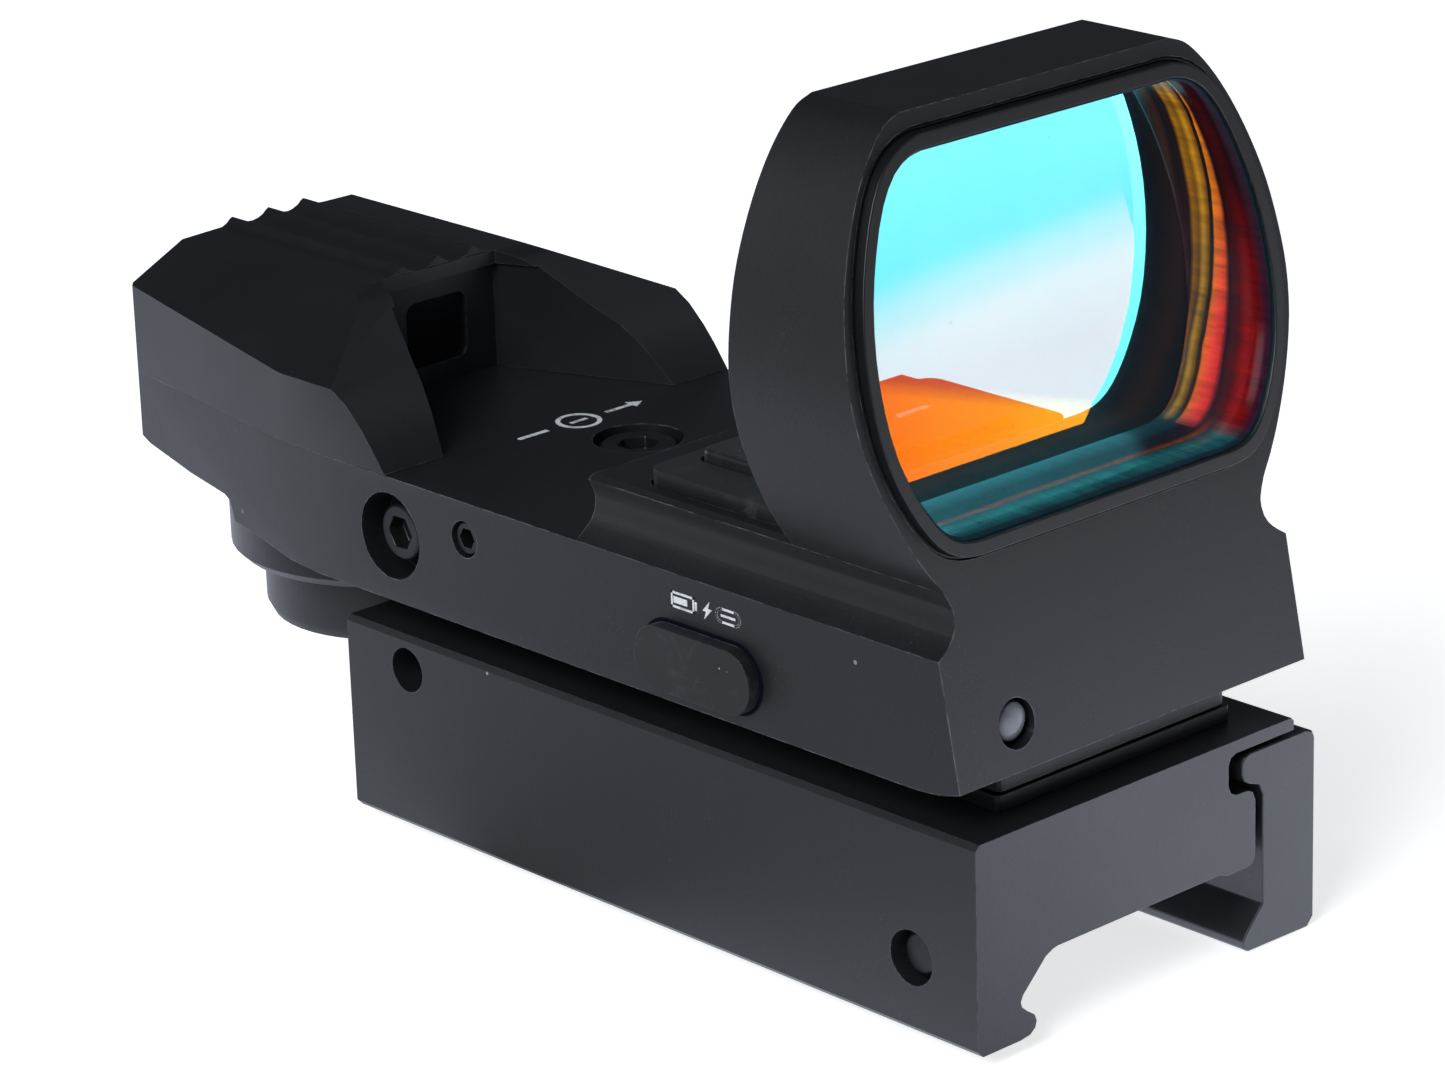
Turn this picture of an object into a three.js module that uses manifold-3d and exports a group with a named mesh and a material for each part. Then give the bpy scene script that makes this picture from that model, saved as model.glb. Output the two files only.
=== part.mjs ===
// Reflex red dot finder on a 21.2 mm dovetail-rail clamp, modelled as a bench assembly.
// Millimetres. +X points at the target, +Y to the left of someone looking along +X, +Z up.
// Origin: centre of the flat seat that rests on top of the rail.
import * as THREE from "three";
import { mergeVertices } from "three/addons/utils/BufferGeometryUtils.js";
import Module from "manifold-3d";

const wasm = await Module();
wasm.setup();

// ---- driving dimensions ----------------------------------------------------
const MOUNT_X = 28.6; // half length of the rail clamp
const MOUNT_TOP = 8.4; // top face of the clamp block
const JAW_BOTTOM = -5.06; // underside of the fixed jaw
const CLAMP_BOTTOM = -6.0; // underside of the moving jaw
const RAIL_HALF = 10.6; // half width of the rail's dovetail
const BODY_Y = 15.0; // half width of the housing
const BODY_BOTTOM = 10.8;
const DECK_Z = 19.2; // top deck, and the split line under the emitter cover
const PLATFORM_Z = 23.1; // keypad platform
const PLATFORM_X = -5.1; // rear edge of the keypad platform
const HOOD_TOP = 49.8;
const HOOD_REAR_X = 13.0;
const FRONT_X = 27.88; // front face at the housing's underside
const FRONT_LEAN = 0.2; // the front face leans back by this much per mm of height
const REAR_X = -53.6; // rear end of housing and cover
const REAR_Y = 12.06; // half width at the rear end
const HOUSING_CORNER_X = -31.0; // where the housing starts to taper
const COVER_CORNER_X = -33.9; // where the cover starts to taper
const DRUM_X = -41.5; // axis of the reticle selector
const KNOB_R = 9.0;
const BOSS_R = 11.2;
const WINDAGE_X = -23.2;
const WINDAGE_Z = 15.2;
const POST_X = -22.9;
const ELEV_X = -17.0;
const ELEV_Y = 1.0;
const CLAMP_SCREW_Z = -0.2;
const CLAMP_SCREW_X = 23.2;
const TILT_X = 20.0; // transverse tilt pin
const TILT_Z = 12.3;
const SWIVEL_X = 13.5; // vertical swivel screw
const PAD_SCREW_X = 8.4;
const PAD_SCREW_Y = 5.6;
const FLOOR_SCREW_X = [-26.9, -1.2];
const LOCK_X = -15.8; // lock screw that bears on the side of the elevation screw
const LOCK_Z = 16.7;

// ---- helpers ---------------------------------------------------------------
const solidOf = (geometry) => {
  let g = geometry.clone();
  g.deleteAttribute("normal");
  g.deleteAttribute("uv");
  g = mergeVertices(g, 1e-5);
  return new wasm.Manifold(
    new wasm.Mesh({
      numProp: 3,
      vertProperties: new Float32Array(g.attributes.position.array),
      triVerts: new Uint32Array(g.index.array),
    }),
  );
};
const geometryOf = (solid) => {
  const m = solid.getMesh();
  const v = new Float32Array(m.numVert * 3);
  for (let i = 0; i < m.numVert; i++)
    v.set(m.vertProperties.subarray(i * m.numProp, i * m.numProp + 3), i * 3);
  const g = new THREE.BufferGeometry();
  g.setAttribute("position", new THREE.BufferAttribute(v, 3));
  g.setIndex(new THREE.BufferAttribute(new Uint32Array(m.triVerts), 1));
  const flat = g.toNonIndexed();
  flat.computeVertexNormals();
  return flat;
};
const shapeOf = (points, holes = []) => {
  const s = new THREE.Shape(points.map(([u, v]) => new THREE.Vector2(u, v)));
  for (const h of holes)
    s.holes.push(new THREE.Path(h.map(([u, v]) => new THREE.Vector2(u, v))));
  return s;
};
const basis = {
  // profile (y, z) pushed along +x, profile (x, z) pushed along -y, profile (x, y) pushed along +z
  x: new THREE.Matrix4().makeBasis(
    new THREE.Vector3(0, 1, 0),
    new THREE.Vector3(0, 0, 1),
    new THREE.Vector3(1, 0, 0),
  ),
  y: new THREE.Matrix4().makeBasis(
    new THREE.Vector3(1, 0, 0),
    new THREE.Vector3(0, 0, 1),
    new THREE.Vector3(0, -1, 0),
  ),
  z: new THREE.Matrix4(),
};
// A profile pushed along an axis from a to b.
const push = (axis, points, a, b, holes = []) => {
  const g = new THREE.ExtrudeGeometry(shapeOf(points, holes), {
    depth: b - a,
    bevelEnabled: false,
    steps: 1,
  });
  g.applyMatrix4(basis[axis]);
  if (axis === "x") g.translate(a, 0, 0);
  if (axis === "y") g.translate(0, b, 0);
  if (axis === "z") g.translate(0, 0, a);
  return solidOf(g);
};
const box = (x0, x1, y0, y1, z0, z1) => {
  const g = new THREE.BoxGeometry(x1 - x0, y1 - y0, z1 - z0);
  g.translate((x0 + x1) / 2, (y0 + y1) / 2, (z0 + z1) / 2);
  return solidOf(g);
};
const circle = (r, n, cu = 0, cv = 0) =>
  Array.from({ length: n }, (_, i) => {
    const t = (2 * Math.PI * i) / n;
    return [cu + r * Math.cos(t), cv + r * Math.sin(t)];
  });
// A cylinder along an axis; (u, v) is its centre in the profile's own coordinates.
const rod = (axis, r, a, b, u, v, n = 24) => push(axis, circle(r, n, u, v), a, b);
// A turned piece about a line along z through (x, y): profile of [radius, z] pairs.
const turned = (profile, x, y, n = 32) => {
  const g = new THREE.LatheGeometry(
    profile.map(([r, z]) => new THREE.Vector2(r, z)),
    n,
  );
  g.rotateX(Math.PI / 2);
  g.translate(x, y, 0);
  const s = solidOf(g);
  return s.volume() < 0 ? solidOf(flipped(g)) : s;
};
const flipped = (g) => {
  const i = g.index.array;
  for (let k = 0; k < i.length; k += 3) [i[k + 1], i[k + 2]] = [i[k + 2], i[k + 1]];
  return g;
};
// A turned piece about a line along y through (x, z): profile of [radius, y] pairs.
const turnedY = (profile, x, z, n = 28) => {
  const g = new THREE.LatheGeometry(
    profile.map(([r, y]) => new THREE.Vector2(r, y)),
    n,
  );
  g.translate(x, 0, z);
  const s = solidOf(g);
  return s.volume() < 0 ? solidOf(flipped(g)) : s;
};
const hexagon = (flats, u, v) => circle(flats / Math.sqrt(3), 6, u, v);
const stadium = (u0, u1, v0, v1, r, n = 8) => {
  const pts = [];
  const corner = (cu, cv, from) => {
    for (let i = 0; i <= n; i++) {
      const t = from + (i / n) * (Math.PI / 2);
      pts.push([cu + r * Math.cos(t), cv + r * Math.sin(t)]);
    }
  };
  corner(u1 - r, v1 - r, 0);
  corner(u0 + r, v1 - r, Math.PI / 2);
  corner(u0 + r, v0 + r, Math.PI);
  corner(u1 - r, v0 + r, (3 * Math.PI) / 2);
  return pts.filter(
    (p, i) => Math.hypot(p[0] - pts[(i + 1) % pts.length][0], p[1] - pts[(i + 1) % pts.length][1]) > 1e-6,
  );
};
// Smooth run of points through the given ones.
const smooth = (points, per) => {
  const c = new THREE.CatmullRomCurve3(
    points.map(([u, v]) => new THREE.Vector3(u, v, 0)),
    false,
    "centripetal",
  );
  return c.getPoints((points.length - 1) * per).map((p) => [p.x, p.y]);
};
const mirrorLoop = (right) => {
  // right: points with y >= 0 from top to bottom; the loop is closed by their mirror image
  const left = right.slice().reverse().map(([u, v]) => [-u, v]);
  return right.concat(left).reverse();
};
// Moves each point of a convex loop outwards by d.
const grown = (loop, d) => {
  const n = loop.length;
  const area = loop.reduce((s, p, i) => {
    const q = loop[(i + 1) % n];
    return s + p[0] * q[1] - q[0] * p[1];
  }, 0);
  const sgn = area > 0 ? 1 : -1;
  return loop.map((p, i) => {
    const a = loop[(i + n - 1) % n];
    const b = loop[(i + 1) % n];
    const e1 = [p[0] - a[0], p[1] - a[1]];
    const e2 = [b[0] - p[0], b[1] - p[1]];
    const l1 = Math.hypot(...e1);
    const l2 = Math.hypot(...e2);
    const n1 = [(e1[1] / l1) * sgn, (-e1[0] / l1) * sgn];
    const n2 = [(e2[1] / l2) * sgn, (-e2[0] / l2) * sgn];
    const k = 1 + n1[0] * n2[0] + n1[1] * n2[1];
    return [p[0] + ((n1[0] + n2[0]) / k) * d, p[1] + ((n1[1] + n2[1]) / k) * d];
  });
};
const frontX = (z) => FRONT_X - FRONT_LEAN * (z - BODY_BOTTOM);
// The slab between two planes parallel to the leaning front face.
const slab = (back, front, z0 = -10, z1 = 60) =>
  push(
    "y",
    [
      [frontX(z0) + back, z0],
      [frontX(z0) + front, z0],
      [frontX(z1) + front, z1],
      [frontX(z1) + back, z1],
    ],
    -30,
    30,
  );

const finder = new THREE.Group();
const add = (name, solid, color, roughness, metalness = 0) => {
  const mesh = new THREE.Mesh(
    geometryOf(solid),
    new THREE.MeshStandardMaterial({ color, roughness, metalness }),
  );
  mesh.name = name;
  finder.add(mesh);
};
const BLACK = 0x1d1e21;
const RUBBER = 0x17181a;
const STEEL = 0x8b8d90;
const BRASS = 0xb08d4c;

// ---- rail clamp ------------------------------------------------------------
const mountProfile = [
  [-14.7, MOUNT_TOP - 0.35],
  [-14.7, JAW_BOTTOM + 0.45],
  [-14.25, JAW_BOTTOM],
  [-11.1, JAW_BOTTOM],
  [-10.3, -4.95],
  [-9.85, -4.62],
  [-9.72, -4.2],
  [-9.9, -3.75],
  [-10.5, -3.35],
  [-10.95, -2.95],
  [-11.05, -2.6],
  [-10.85, -2.2],
  [-8.9, -0.35],
  [-8.3, -0.08],
  [-7.9, 0],
  [6.4, 0],
  [7.0, -0.25],
  [8.9, -0.25],
  [9.35, -0.1],
  [9.6, 0.35],
  [9.6, 4.0],
  [9.35, 4.6],
  [8.9, 4.8],
  [7.8, 4.85],
  [7.35, 5.1],
  [7.15, 5.6],
  [7.15, 6.9],
  [7.35, 7.35],
  [7.8, 7.55],
  [13.1, 7.55],
  [13.1, MOUNT_TOP - 0.25],
  [12.85, MOUNT_TOP],
  [-14.35, MOUNT_TOP],
];
let mount = push("x", mountProfile, -MOUNT_X, MOUNT_X);
for (const x of [CLAMP_SCREW_X])
  mount = mount.subtract(rod("y", 1.75, -16, 16, x, CLAMP_SCREW_Z));
mount = mount.subtract(rod("y", 1.75, -12.9, 16, -CLAMP_SCREW_X, CLAMP_SCREW_Z));
mount = mount.subtract(rod("y", 1.5, -16, 6.5, -22.6, 6.07));
mount = mount.subtract(rod("z", 2.6, 3.4, 9, POST_X, 0));
mount = mount.subtract(rod("z", 1.5, 2.2, 9, SWIVEL_X, 0, 24));
mount = mount.subtract(rod("z", 0.95, 3.2, 9, PAD_SCREW_X, PAD_SCREW_Y, 16));
mount = mount.subtract(rod("z", 0.95, 3.2, 9, PAD_SCREW_X, -PAD_SCREW_Y, 16));
add("mount_base", mount, BLACK, 0.42, 0.2);

const jawProfile = [
  [15.05, 6.55],
  [15.05, CLAMP_BOTTOM + 0.6],
  [14.5, CLAMP_BOTTOM],
  [9.0, CLAMP_BOTTOM + 0.1],
  [8.55, -5.6],
  [8.5, -5.1],
  [8.85, -4.6],
  [10.3, -3.1],
  [10.3, 4.1],
  [10.0, 4.85],
  [9.1, 5.15],
  [8.6, 5.45],
  [8.38, 5.95],
  [8.38, 6.65],
  [8.65, 7.05],
  [9.1, 7.2],
  [14.2, 7.2],
  [14.85, 7.0],
];
let jaw = push("x", jawProfile, -MOUNT_X, MOUNT_X);
for (const x of [CLAMP_SCREW_X, -CLAMP_SCREW_X]) {
  jaw = jaw.subtract(rod("y", 1.75, 5, 20, x, CLAMP_SCREW_Z));
  jaw = jaw.subtract(rod("y", 3.75, 12.6, 20, x, CLAMP_SCREW_Z, 32));
}
add("clamp_jaw", jaw, BLACK, 0.42, 0.2);

const capScrew = (x, tip) => {
  let s = turnedY(
    [
      [0, tip],
      [1.25, tip],
      [1.55, tip + 0.35],
      [1.55, 12.7],
      [3.5, 12.7],
      [3.5, 16.3],
      [3.1, 16.7],
      [0, 16.7],
    ],
    x,
    CLAMP_SCREW_Z,
    32,
  );
  return s.subtract(push("y", hexagon(3.0, x, CLAMP_SCREW_Z), 14.6, 18));
};
add("clamp_screw_front", capScrew(CLAMP_SCREW_X, -13.9), 0x2a2b2e, 0.35, 0.8);
add("clamp_screw_rear", capScrew(-CLAMP_SCREW_X, -11.8), 0x2a2b2e, 0.35, 0.8);

// ---- swivel pad ------------------------------------------------------------
let padLower = push("z", stadium(5.6, 26.1, -10.2, 10.2, 0.5, 3), MOUNT_TOP + 0.02, 9.45);
padLower = padLower
  .subtract(rod("z", 1.5, 5, 12, SWIVEL_X, 0, 24))
  .subtract(rod("z", 0.95, 5, 12, PAD_SCREW_X, PAD_SCREW_Y, 16))
  .subtract(rod("z", 0.95, 5, 12, PAD_SCREW_X, -PAD_SCREW_Y, 16));
add("swivel_pad_lower", padLower, BLACK, 0.6, 0.2);
for (const [i, y] of [[1, PAD_SCREW_Y], [2, -PAD_SCREW_Y]])
  add(
    "pad_screw_" + i,
    turned([[0, 4], [0.8, 4], [0.8, 9.3], [0, 9.3]], PAD_SCREW_X, y, 16),
    STEEL,
    0.35,
    0.9,
  );
let plate = push("z", stadium(5.9, 25.9, -9.9, 9.9, 0.5, 3), 9.55, 10.4);
for (const y of [-7.6, 7.6])
  plate = plate.add(
    push(
      "y",
      [
        [18.2, 10.0],
        [21.8, 10.0],
        [21.8, 12.3],
        [21.3, 13.4],
        [20.5, 13.9],
        [19.5, 13.9],
        [18.7, 13.4],
        [18.2, 12.3],
      ],
      y - 1.2,
      y + 1.2,
    ),
  );
plate = plate
  .subtract(rod("y", 1.3, -12, 12, TILT_X, TILT_Z))
  .subtract(rod("z", 1.5, 5, 12, SWIVEL_X, 0, 24));
add("swivel_plate", plate, BLACK, 0.6, 0.2);
add(
  "swivel_screw",
  turned(
    [[0, 2.6], [1.3, 2.6], [1.4, 3], [1.4, 10.5], [3, 10.5], [3, 11.6], [2.7, 11.9], [0, 11.9]],
    SWIVEL_X,
    0,
    24,
  ).subtract(push("z", hexagon(2, SWIVEL_X, 0), 11, 13)),
  STEEL,
  0.35,
  0.9,
);

// ---- windage post in the clamp block ---------------------------------------
add(
  "windage_post",
  turned(
    [[0, 3.6], [2.5, 3.6], [2.5, 8.3], [1.5, 8.7], [1.5, 14.4], [2.2, 14.4], [2.2, 16.1], [2, 16.3], [0, 16.3]],
    POST_X,
    0,
    32,
  ).subtract(rod("y", 1.3, -4, 4, -22.6, 6.07, 20)),
  STEEL,
  0.4,
  0.9,
);
add("post_cross_pin", rod("y", 1.15, -9.8, 5.8, -22.6, 6.07, 20), STEEL, 0.35, 0.9);
// ---- main housing ----------------------------------------------------------
const hoodRight = smooth(
  [
    [11.3, 49.8],
    [12.5, 49.35],
    [13.6, 48.4],
    [14.75, 47.0],
    [15.85, 45.2],
    [16.95, 42.8],
    [17.8, 40.2],
    [18.3, 37.3],
    [18.45, 34.7],
    [18.1, 31.9],
    [17.15, 28.9],
    [15.85, 26.1],
    [14.7, 24.2],
    [13.7, 22.8],
    [13.22, 21.6],
    [13.35, 20.7],
    [13.9, 19.95],
    [15.0, 19.2],
  ],
  3,
);
const hoodLoop = mirrorLoop(
  [[0, HOOD_TOP]].concat(hoodRight).concat([[BODY_Y, 17.5], [0, 17.5]]).filter((p, i, a) => !i || Math.hypot(p[0] - a[i - 1][0], p[1] - a[i - 1][1]) > 1e-4),
).filter((p, i, a) => Math.hypot(p[0] - a[(i + 1) % a.length][0], p[1] - a[(i + 1) % a.length][1]) > 1e-4);
const platformRight = [
  [0, PLATFORM_Z],
  [13.35, PLATFORM_Z],
  [13.75, 22.85],
  [13.5, 22.4],
  [13.25, 21.8],
  [13.22, 21.3],
  [13.35, 20.7],
  [13.62, 20.25],
  [13.95, 19.92],
  [14.5, 19.5],
  [15.0, DECK_Z],
  [BODY_Y, 17.5],
  [0, 17.5],
];
const platformLoop = mirrorLoop(platformRight).filter(
  (p, i, a) => Math.hypot(p[0] - a[(i + 1) % a.length][0], p[1] - a[(i + 1) % a.length][1]) > 1e-4,
);
// Window opening in the hood, seen along x.
const windowRight = smooth(
  [
    [10.4, 47.7],
    [11.6, 47.45],
    [12.9, 46.7],
    [14.1, 45.2],
    [15.2, 42.8],
    [16.05, 40.0],
    [16.5, 37.0],
    [16.5, 34.0],
    [16.05, 31.2],
    [15.1, 28.8],
    [14.0, 27.0],
    [13.0, 26.0],
    [11.9, 25.5],
    [10.6, 25.35],
  ],
  2,
);
const windowLoop = mirrorLoop([[0, 47.7]].concat(windowRight).concat([[0, 25.35]])).filter(
  (p, i, a) => Math.hypot(p[0] - a[(i + 1) % a.length][0], p[1] - a[(i + 1) % a.length][1]) > 1e-4,
);

const plan = (rear, rearY, corner) => [
  [40, -BODY_Y],
  [40, BODY_Y],
  [corner, BODY_Y],
  [rear + 0.25, rearY + 0.03],
  [rear, rearY - 0.22],
  [rear, -rearY + 0.22],
  [rear + 0.25, -rearY - 0.03],
  [corner, -BODY_Y],
];
let housing = push("z", plan(REAR_X, REAR_Y, HOUSING_CORNER_X), BODY_BOTTOM, DECK_Z);
housing = housing.subtract(
  push(
    "y",
    [
      [-60, 8],
      [-34.5, 8],
      [-34.5, BODY_BOTTOM],
      [-38.2, 11.3],
      [-41.4, 11.6],
      [-41.7, 12.4],
      [-42.0, 12.95],
      [-42.6, 13.2],
      [-47.0, 13.55],
      [-52.4, 14.3],
      [-53.3, 14.62],
      [-53.7, 15.0],
      [-60, 15.4],
    ],
    -30,
    30,
  ),
);
housing = housing
  .add(push("x", platformLoop, PLATFORM_X, 40))
  .add(push("x", hoodLoop, HOOD_REAR_X, 40));
housing = housing.intersect(slab(-200, 0));
housing = housing.subtract(
  push("y", [[23.6, 10], [31, 10], [31, 12.2], [27.9, 11.45], [26.3, 11.02], [24.8, 10.84], [23.6, BODY_BOTTOM]], -30, 30),
);
// selector boss under the rear
housing = housing.add(
  turned([[0, 7.0], [10.6, 7.0], [BOSS_R, 7.6], [BOSS_R, 14], [0, 14]], DRUM_X, 0, 48),
);
// window bore, which also seats the lens, and bezel seat
housing = housing
  .subtract(push("x", grown(windowLoop, 0.35), 12, 40))
  .subtract(push("x", grown(windowLoop, 1.15), 5, 40).intersect(slab(-1.5, 20)));
// electronics bay, open underneath, with the rebate of its floor plate
housing = housing.subtract(box(-27.3, 7.8, -10.4, 10.4, 10, 17.4));
housing = housing.subtract(box(-28.4, 8.2, -12.8, 12.8, 10, 12.0));
housing = housing.subtract(box(0.9, 11.0, -12.9, -6.4, 12.15, 15.9));
// windage boss and elevation boss hang from the roof of the bay
housing = housing.add(box(-26.3, -20.1, -10.6, -5.0, 12.35, 17.6));
housing = housing.add(rod("z", 3.3, 12.35, 17.8, ELEV_X, ELEV_Y, 32));
// windage screw way
housing = housing
  .subtract(rod("y", 2.9, -16, -12.6, WINDAGE_X, WINDAGE_Z, 32))
  .subtract(rod("y", 1.65, -14, -7, WINDAGE_X, WINDAGE_Z, 32))
  .subtract(rod("y", 2.15, -8.2, -4, WINDAGE_X, WINDAGE_Z, 32))
  .subtract(rod("y", 1.22, -16, -1.4, LOCK_X, LOCK_Z, 24));
// elevation screw way
housing = housing
  .subtract(rod("z", 3.0, 17.6, 20, ELEV_X, ELEV_Y, 32))
  .subtract(rod("z", 1.65, 12, 18, ELEV_X, ELEV_Y, 32))
  .subtract(rod("z", 2.32, 10, 15.2, ELEV_X, ELEV_Y, 32));
// charging socket opening
housing = housing.subtract(push("y", stadium(1.1, 11.1, 11.75, 15.85, 2.04, 8), -16, -12.9));
housing = housing.subtract(push("y", stadium(1.45, 10.75, 12.1, 15.5, 1.65, 8), -14, -10));
// keypad pocket and the ways for the key stems
housing = housing.subtract(push("z", stadium(-1.7, 11.2, -12.45, 12.45, 1.4, 5), 22.3, 25));
for (const y of [-4.75, 4.75])
  housing = housing.subtract(box(2.6, 6.6, y - 2.0, y + 2.0, 17, 23));
// swivel pocket in the underside, tilt pin bore
housing = housing.subtract(box(17.3, 22.7, -9.6, 9.6, 10, 14.6));
housing = housing.subtract(rod("z", 3.7, 10, 12.7, SWIVEL_X, 0, 32));
housing = housing.subtract(rod("y", 1.2, -12.4, 16, TILT_X, TILT_Z));
// charge light
housing = housing.subtract(rod("x", 1.5, 24.8, 30, -9.7, 14.2, 32));
housing = housing.subtract(rod("x", 0.6, 23, 30, -9.0, 13.6, 12));
// selector spindle bore, seat of the knob, detent pocket
housing = housing
  .subtract(rod("z", 4.8, 5, 20, DRUM_X, 0, 40))
  .subtract(rod("z", 5.8, 18.4, 20, DRUM_X, 0, 40))
  .subtract(rod("z", 0.9, 5, 10, DRUM_X + 7.4, 0, 16));
// cover screws and floor plate screws
for (const y of [-12.3, 12.3]) {
  housing = housing.subtract(rod("z", 0.9, 5, 20, -31.4, y, 16));
  housing = housing.subtract(rod("z", 1.75, 5, 12.2, -31.4, y, 20));
}
for (const x of FLOOR_SCREW_X)
  for (const y of [-11.6, 11.6])
    housing = housing.subtract(rod("z", 0.62, 11, 14.3, x, y, 12));
add("main_housing", housing, BLACK, 0.42, 0.2);

// ---- hood optics -----------------------------------------------------------
const bezel = push("x", grown(windowLoop, 0.85), 5, 40)
  .intersect(slab(-1.2, 0.62))
  .subtract(push("x", windowLoop, 0, 50));
add("lens_bezel", bezel, 0x222327, 0.4, 0.1);
const lensRim = push("x", grown(windowLoop, 0.05), 5, 40);
// spherical surface that parts the two cemented glasses
const ballOf = (R, back) => {
  // sphere whose rearmost point sits 'back' behind the front plane at the window's centre
  const n = 1 / Math.hypot(1, FRONT_LEAN);
  const cx = frontX(36.5) - back + R * n;
  const cz = 36.5 + R * FRONT_LEAN * n;
  const pts = [];
  for (let i = 0; i <= 8; i++) {
    const t = (i / 8) * 0.34;
    pts.push([R * Math.sin(t), -R * Math.cos(t)]);
  }
  pts.push([R * Math.sin(0.34), 10]);
  pts.push([0, 10]);
  const g = new THREE.LatheGeometry(pts.map(([r, y]) => new THREE.Vector2(r, y)), 32);
  // lathe axis is y; turn it to the leaning optical axis
  g.rotateZ(-Math.PI / 2);
  g.rotateY(-Math.atan(FRONT_LEAN));
  g.translate(cx, 0, cz);
  const s = solidOf(g);
  return s.volume() < 0 ? solidOf(flipped(g)) : s;
};
const frontGlass = lensRim.intersect(slab(-5, -1.55)).intersect(ballOf(110, 3.7));
const rearGlass = lensRim.intersect(slab(-6.0, -1.9)).subtract(ballOf(110, 3.76));
add("lens_front_glass", frontGlass, 0x9fd8e6, 0.05);
add("lens_rear_glass", rearGlass, 0x9fd8e6, 0.05);
add(
  "lens_seal_ring",
  push("x", grown(windowLoop, 0.3), 5, 40)
    .subtract(push("x", grown(windowLoop, 0.08), 0, 50))
    .intersect(slab(-6.0, -1.6)),
  0x0c0c0d,
  0.8,
);

// ---- emitter cover ---------------------------------------------------------
const coverSection = (top, slopeY, wallZ, wallY) => [
  [-wallY, DECK_Z + 0.03],
  [wallY, DECK_Z + 0.03],
  [wallY, wallZ],
  [slopeY, top],
];
const ridges = () => {
  // three saw-tooth grip ridges across the top, scalloped on one side
  const pts = [];
  for (const peak of [3.13, 0.06, -3.11]) {
    pts.push([peak + 1.75, 27.52]);
    pts.push([peak + 1.15, 27.56]);
    pts.push([peak + 0.6, 27.74]);
    pts.push([peak + 0.22, 28.05]);
    pts.push([peak, 28.16]);
    pts.push([peak - 0.25, 28.02]);
    pts.push([peak - 0.5, 27.8]);
    pts.push([peak - 0.9, 27.62]);
  }
  return pts;
};
const coverLoop = [
  [-20, DECK_Z + 0.03],
  [20, DECK_Z + 0.03],
  [20, 21.86],
  [7.45, 27.5],
  ...ridges().map(([u, v]) => [u, v]),
  [-7.45, 27.5],
  [-20, 21.86],
];
// cross-section: vertical walls, then a slope up to the ridged top
const coverTop = (() => {
  const s = [
    [-BODY_Y, DECK_Z + 0.03],
    [BODY_Y, DECK_Z + 0.03],
    [BODY_Y, 23.9],
    [7.45, 27.5],
    ...ridges(),
    [-7.45, 27.5],
    [-BODY_Y, 23.9],
  ];
  return push("x", s, REAR_X, -15);
})();
const coverPlan = push("z", plan(REAR_X, REAR_Y, COVER_CORNER_X), 15, 32);
let cover = coverTop.intersect(coverPlan);
// horn faces slope down to the deck
cover = cover.subtract(
  push(
    "y",
    [
      [-35.4, 28.3],
      [-35.4, 27.55],
      [-33.2, 27.0],
      [-28.8, 24.1],
      [-27.1, 23.15],
      [-25.7, 21.9],
      [-24.7, 20.8],
      [-23.3, 19.0],
      [-10, 19.0],
      [-10, 30],
      [-35.4, 30],
    ],
    -30,
    30,
  ),
);
// splayed notch between the horns, closed behind by the emitter wall
cover = cover.subtract(
  push("z", [[-35.8, -5.1], [-35.8, 5.1], [-23.9, 9.9], [-10, 15.5], [-10, -15.5], [-23.9, -9.9]], 15, 26.6),
);
cover = cover.subtract(
  push("z", [[-35.3, -4.9], [-35.3, 4.9], [-23.9, 9.9], [-10, 15.5], [-10, -15.5], [-23.9, -9.9]], 26.5, 32),
);
// room inside for the selector drum
cover = cover.subtract(push("z", stadium(-51.6, -36.75, -9.6, 9.6, 2, 4), 15, 23.6));
cover = cover.subtract(push("z", stadium(-51.2, -36.75, -6.8, 6.8, 2, 4), 15, 26.2));
cover = cover.subtract(push("x", stadium(-2.6, 2.6, 20.6, 25.2, 0.8, 4), -38, -34));
for (const y of [-12.3, 12.3]) cover = cover.subtract(rod("z", 0.62, 15, 22.6, -31.4, y, 12));
add("emitter_cover", cover, 0x1b1c1f, 0.5, 0.05);
add(
  "emitter_window",
  push("x", stadium(-2.45, 2.45, 20.75, 25.05, 0.7, 4), -36.6, -36.1),
  0x20242c,
  0.1,
);

// ---- reticle selector ------------------------------------------------------
let knob = turned(
  [
    [0, 2.1],
    [7.6, 2.1],
    [8.6, 2.5],
    [KNOB_R, 3.3],
    [KNOB_R, 6.7],
    [4.6, 6.7],
    [4.6, 18.45],
    [4.2, 18.45],
    [4.2, 19.0],
    [4.6, 19.0],
    [4.6, 20.3],
    [0, 20.3],
  ],
  DRUM_X,
  0,
  48,
);
// thumb lever, turned to the far side at this setting
{
  const lever = push("z", stadium(-12.9, -6, -1.6, 1.6, 1.2, 4), 3.0, 6.2);
  const turnedLever = solidOf(
    (() => {
      const g = geometryOf(lever);
      g.rotateZ(-Math.PI / 4);
      g.translate(DRUM_X, 0, 0);
      return g;
    })(),
  );
  knob = knob.add(turnedLever);
}
knob = knob.subtract(box(DRUM_X - 5.5, DRUM_X + 5.5, -0.7, 0.7, 0, 2.9));
knob = knob.subtract(rod("z", 3.4, 17.6, 22, DRUM_X, 0, 32));
for (let i = 0; i < 4; i++) {
  const t = (i * Math.PI) / 6;
  knob = knob.subtract(
    rod("z", 0.75, 6.4, 7.4, DRUM_X + 7.4 * Math.cos(-t), 7.4 * Math.sin(-t), 12),
  );
}
add("reticle_knob", knob, BLACK, 0.42, 0.2);
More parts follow.
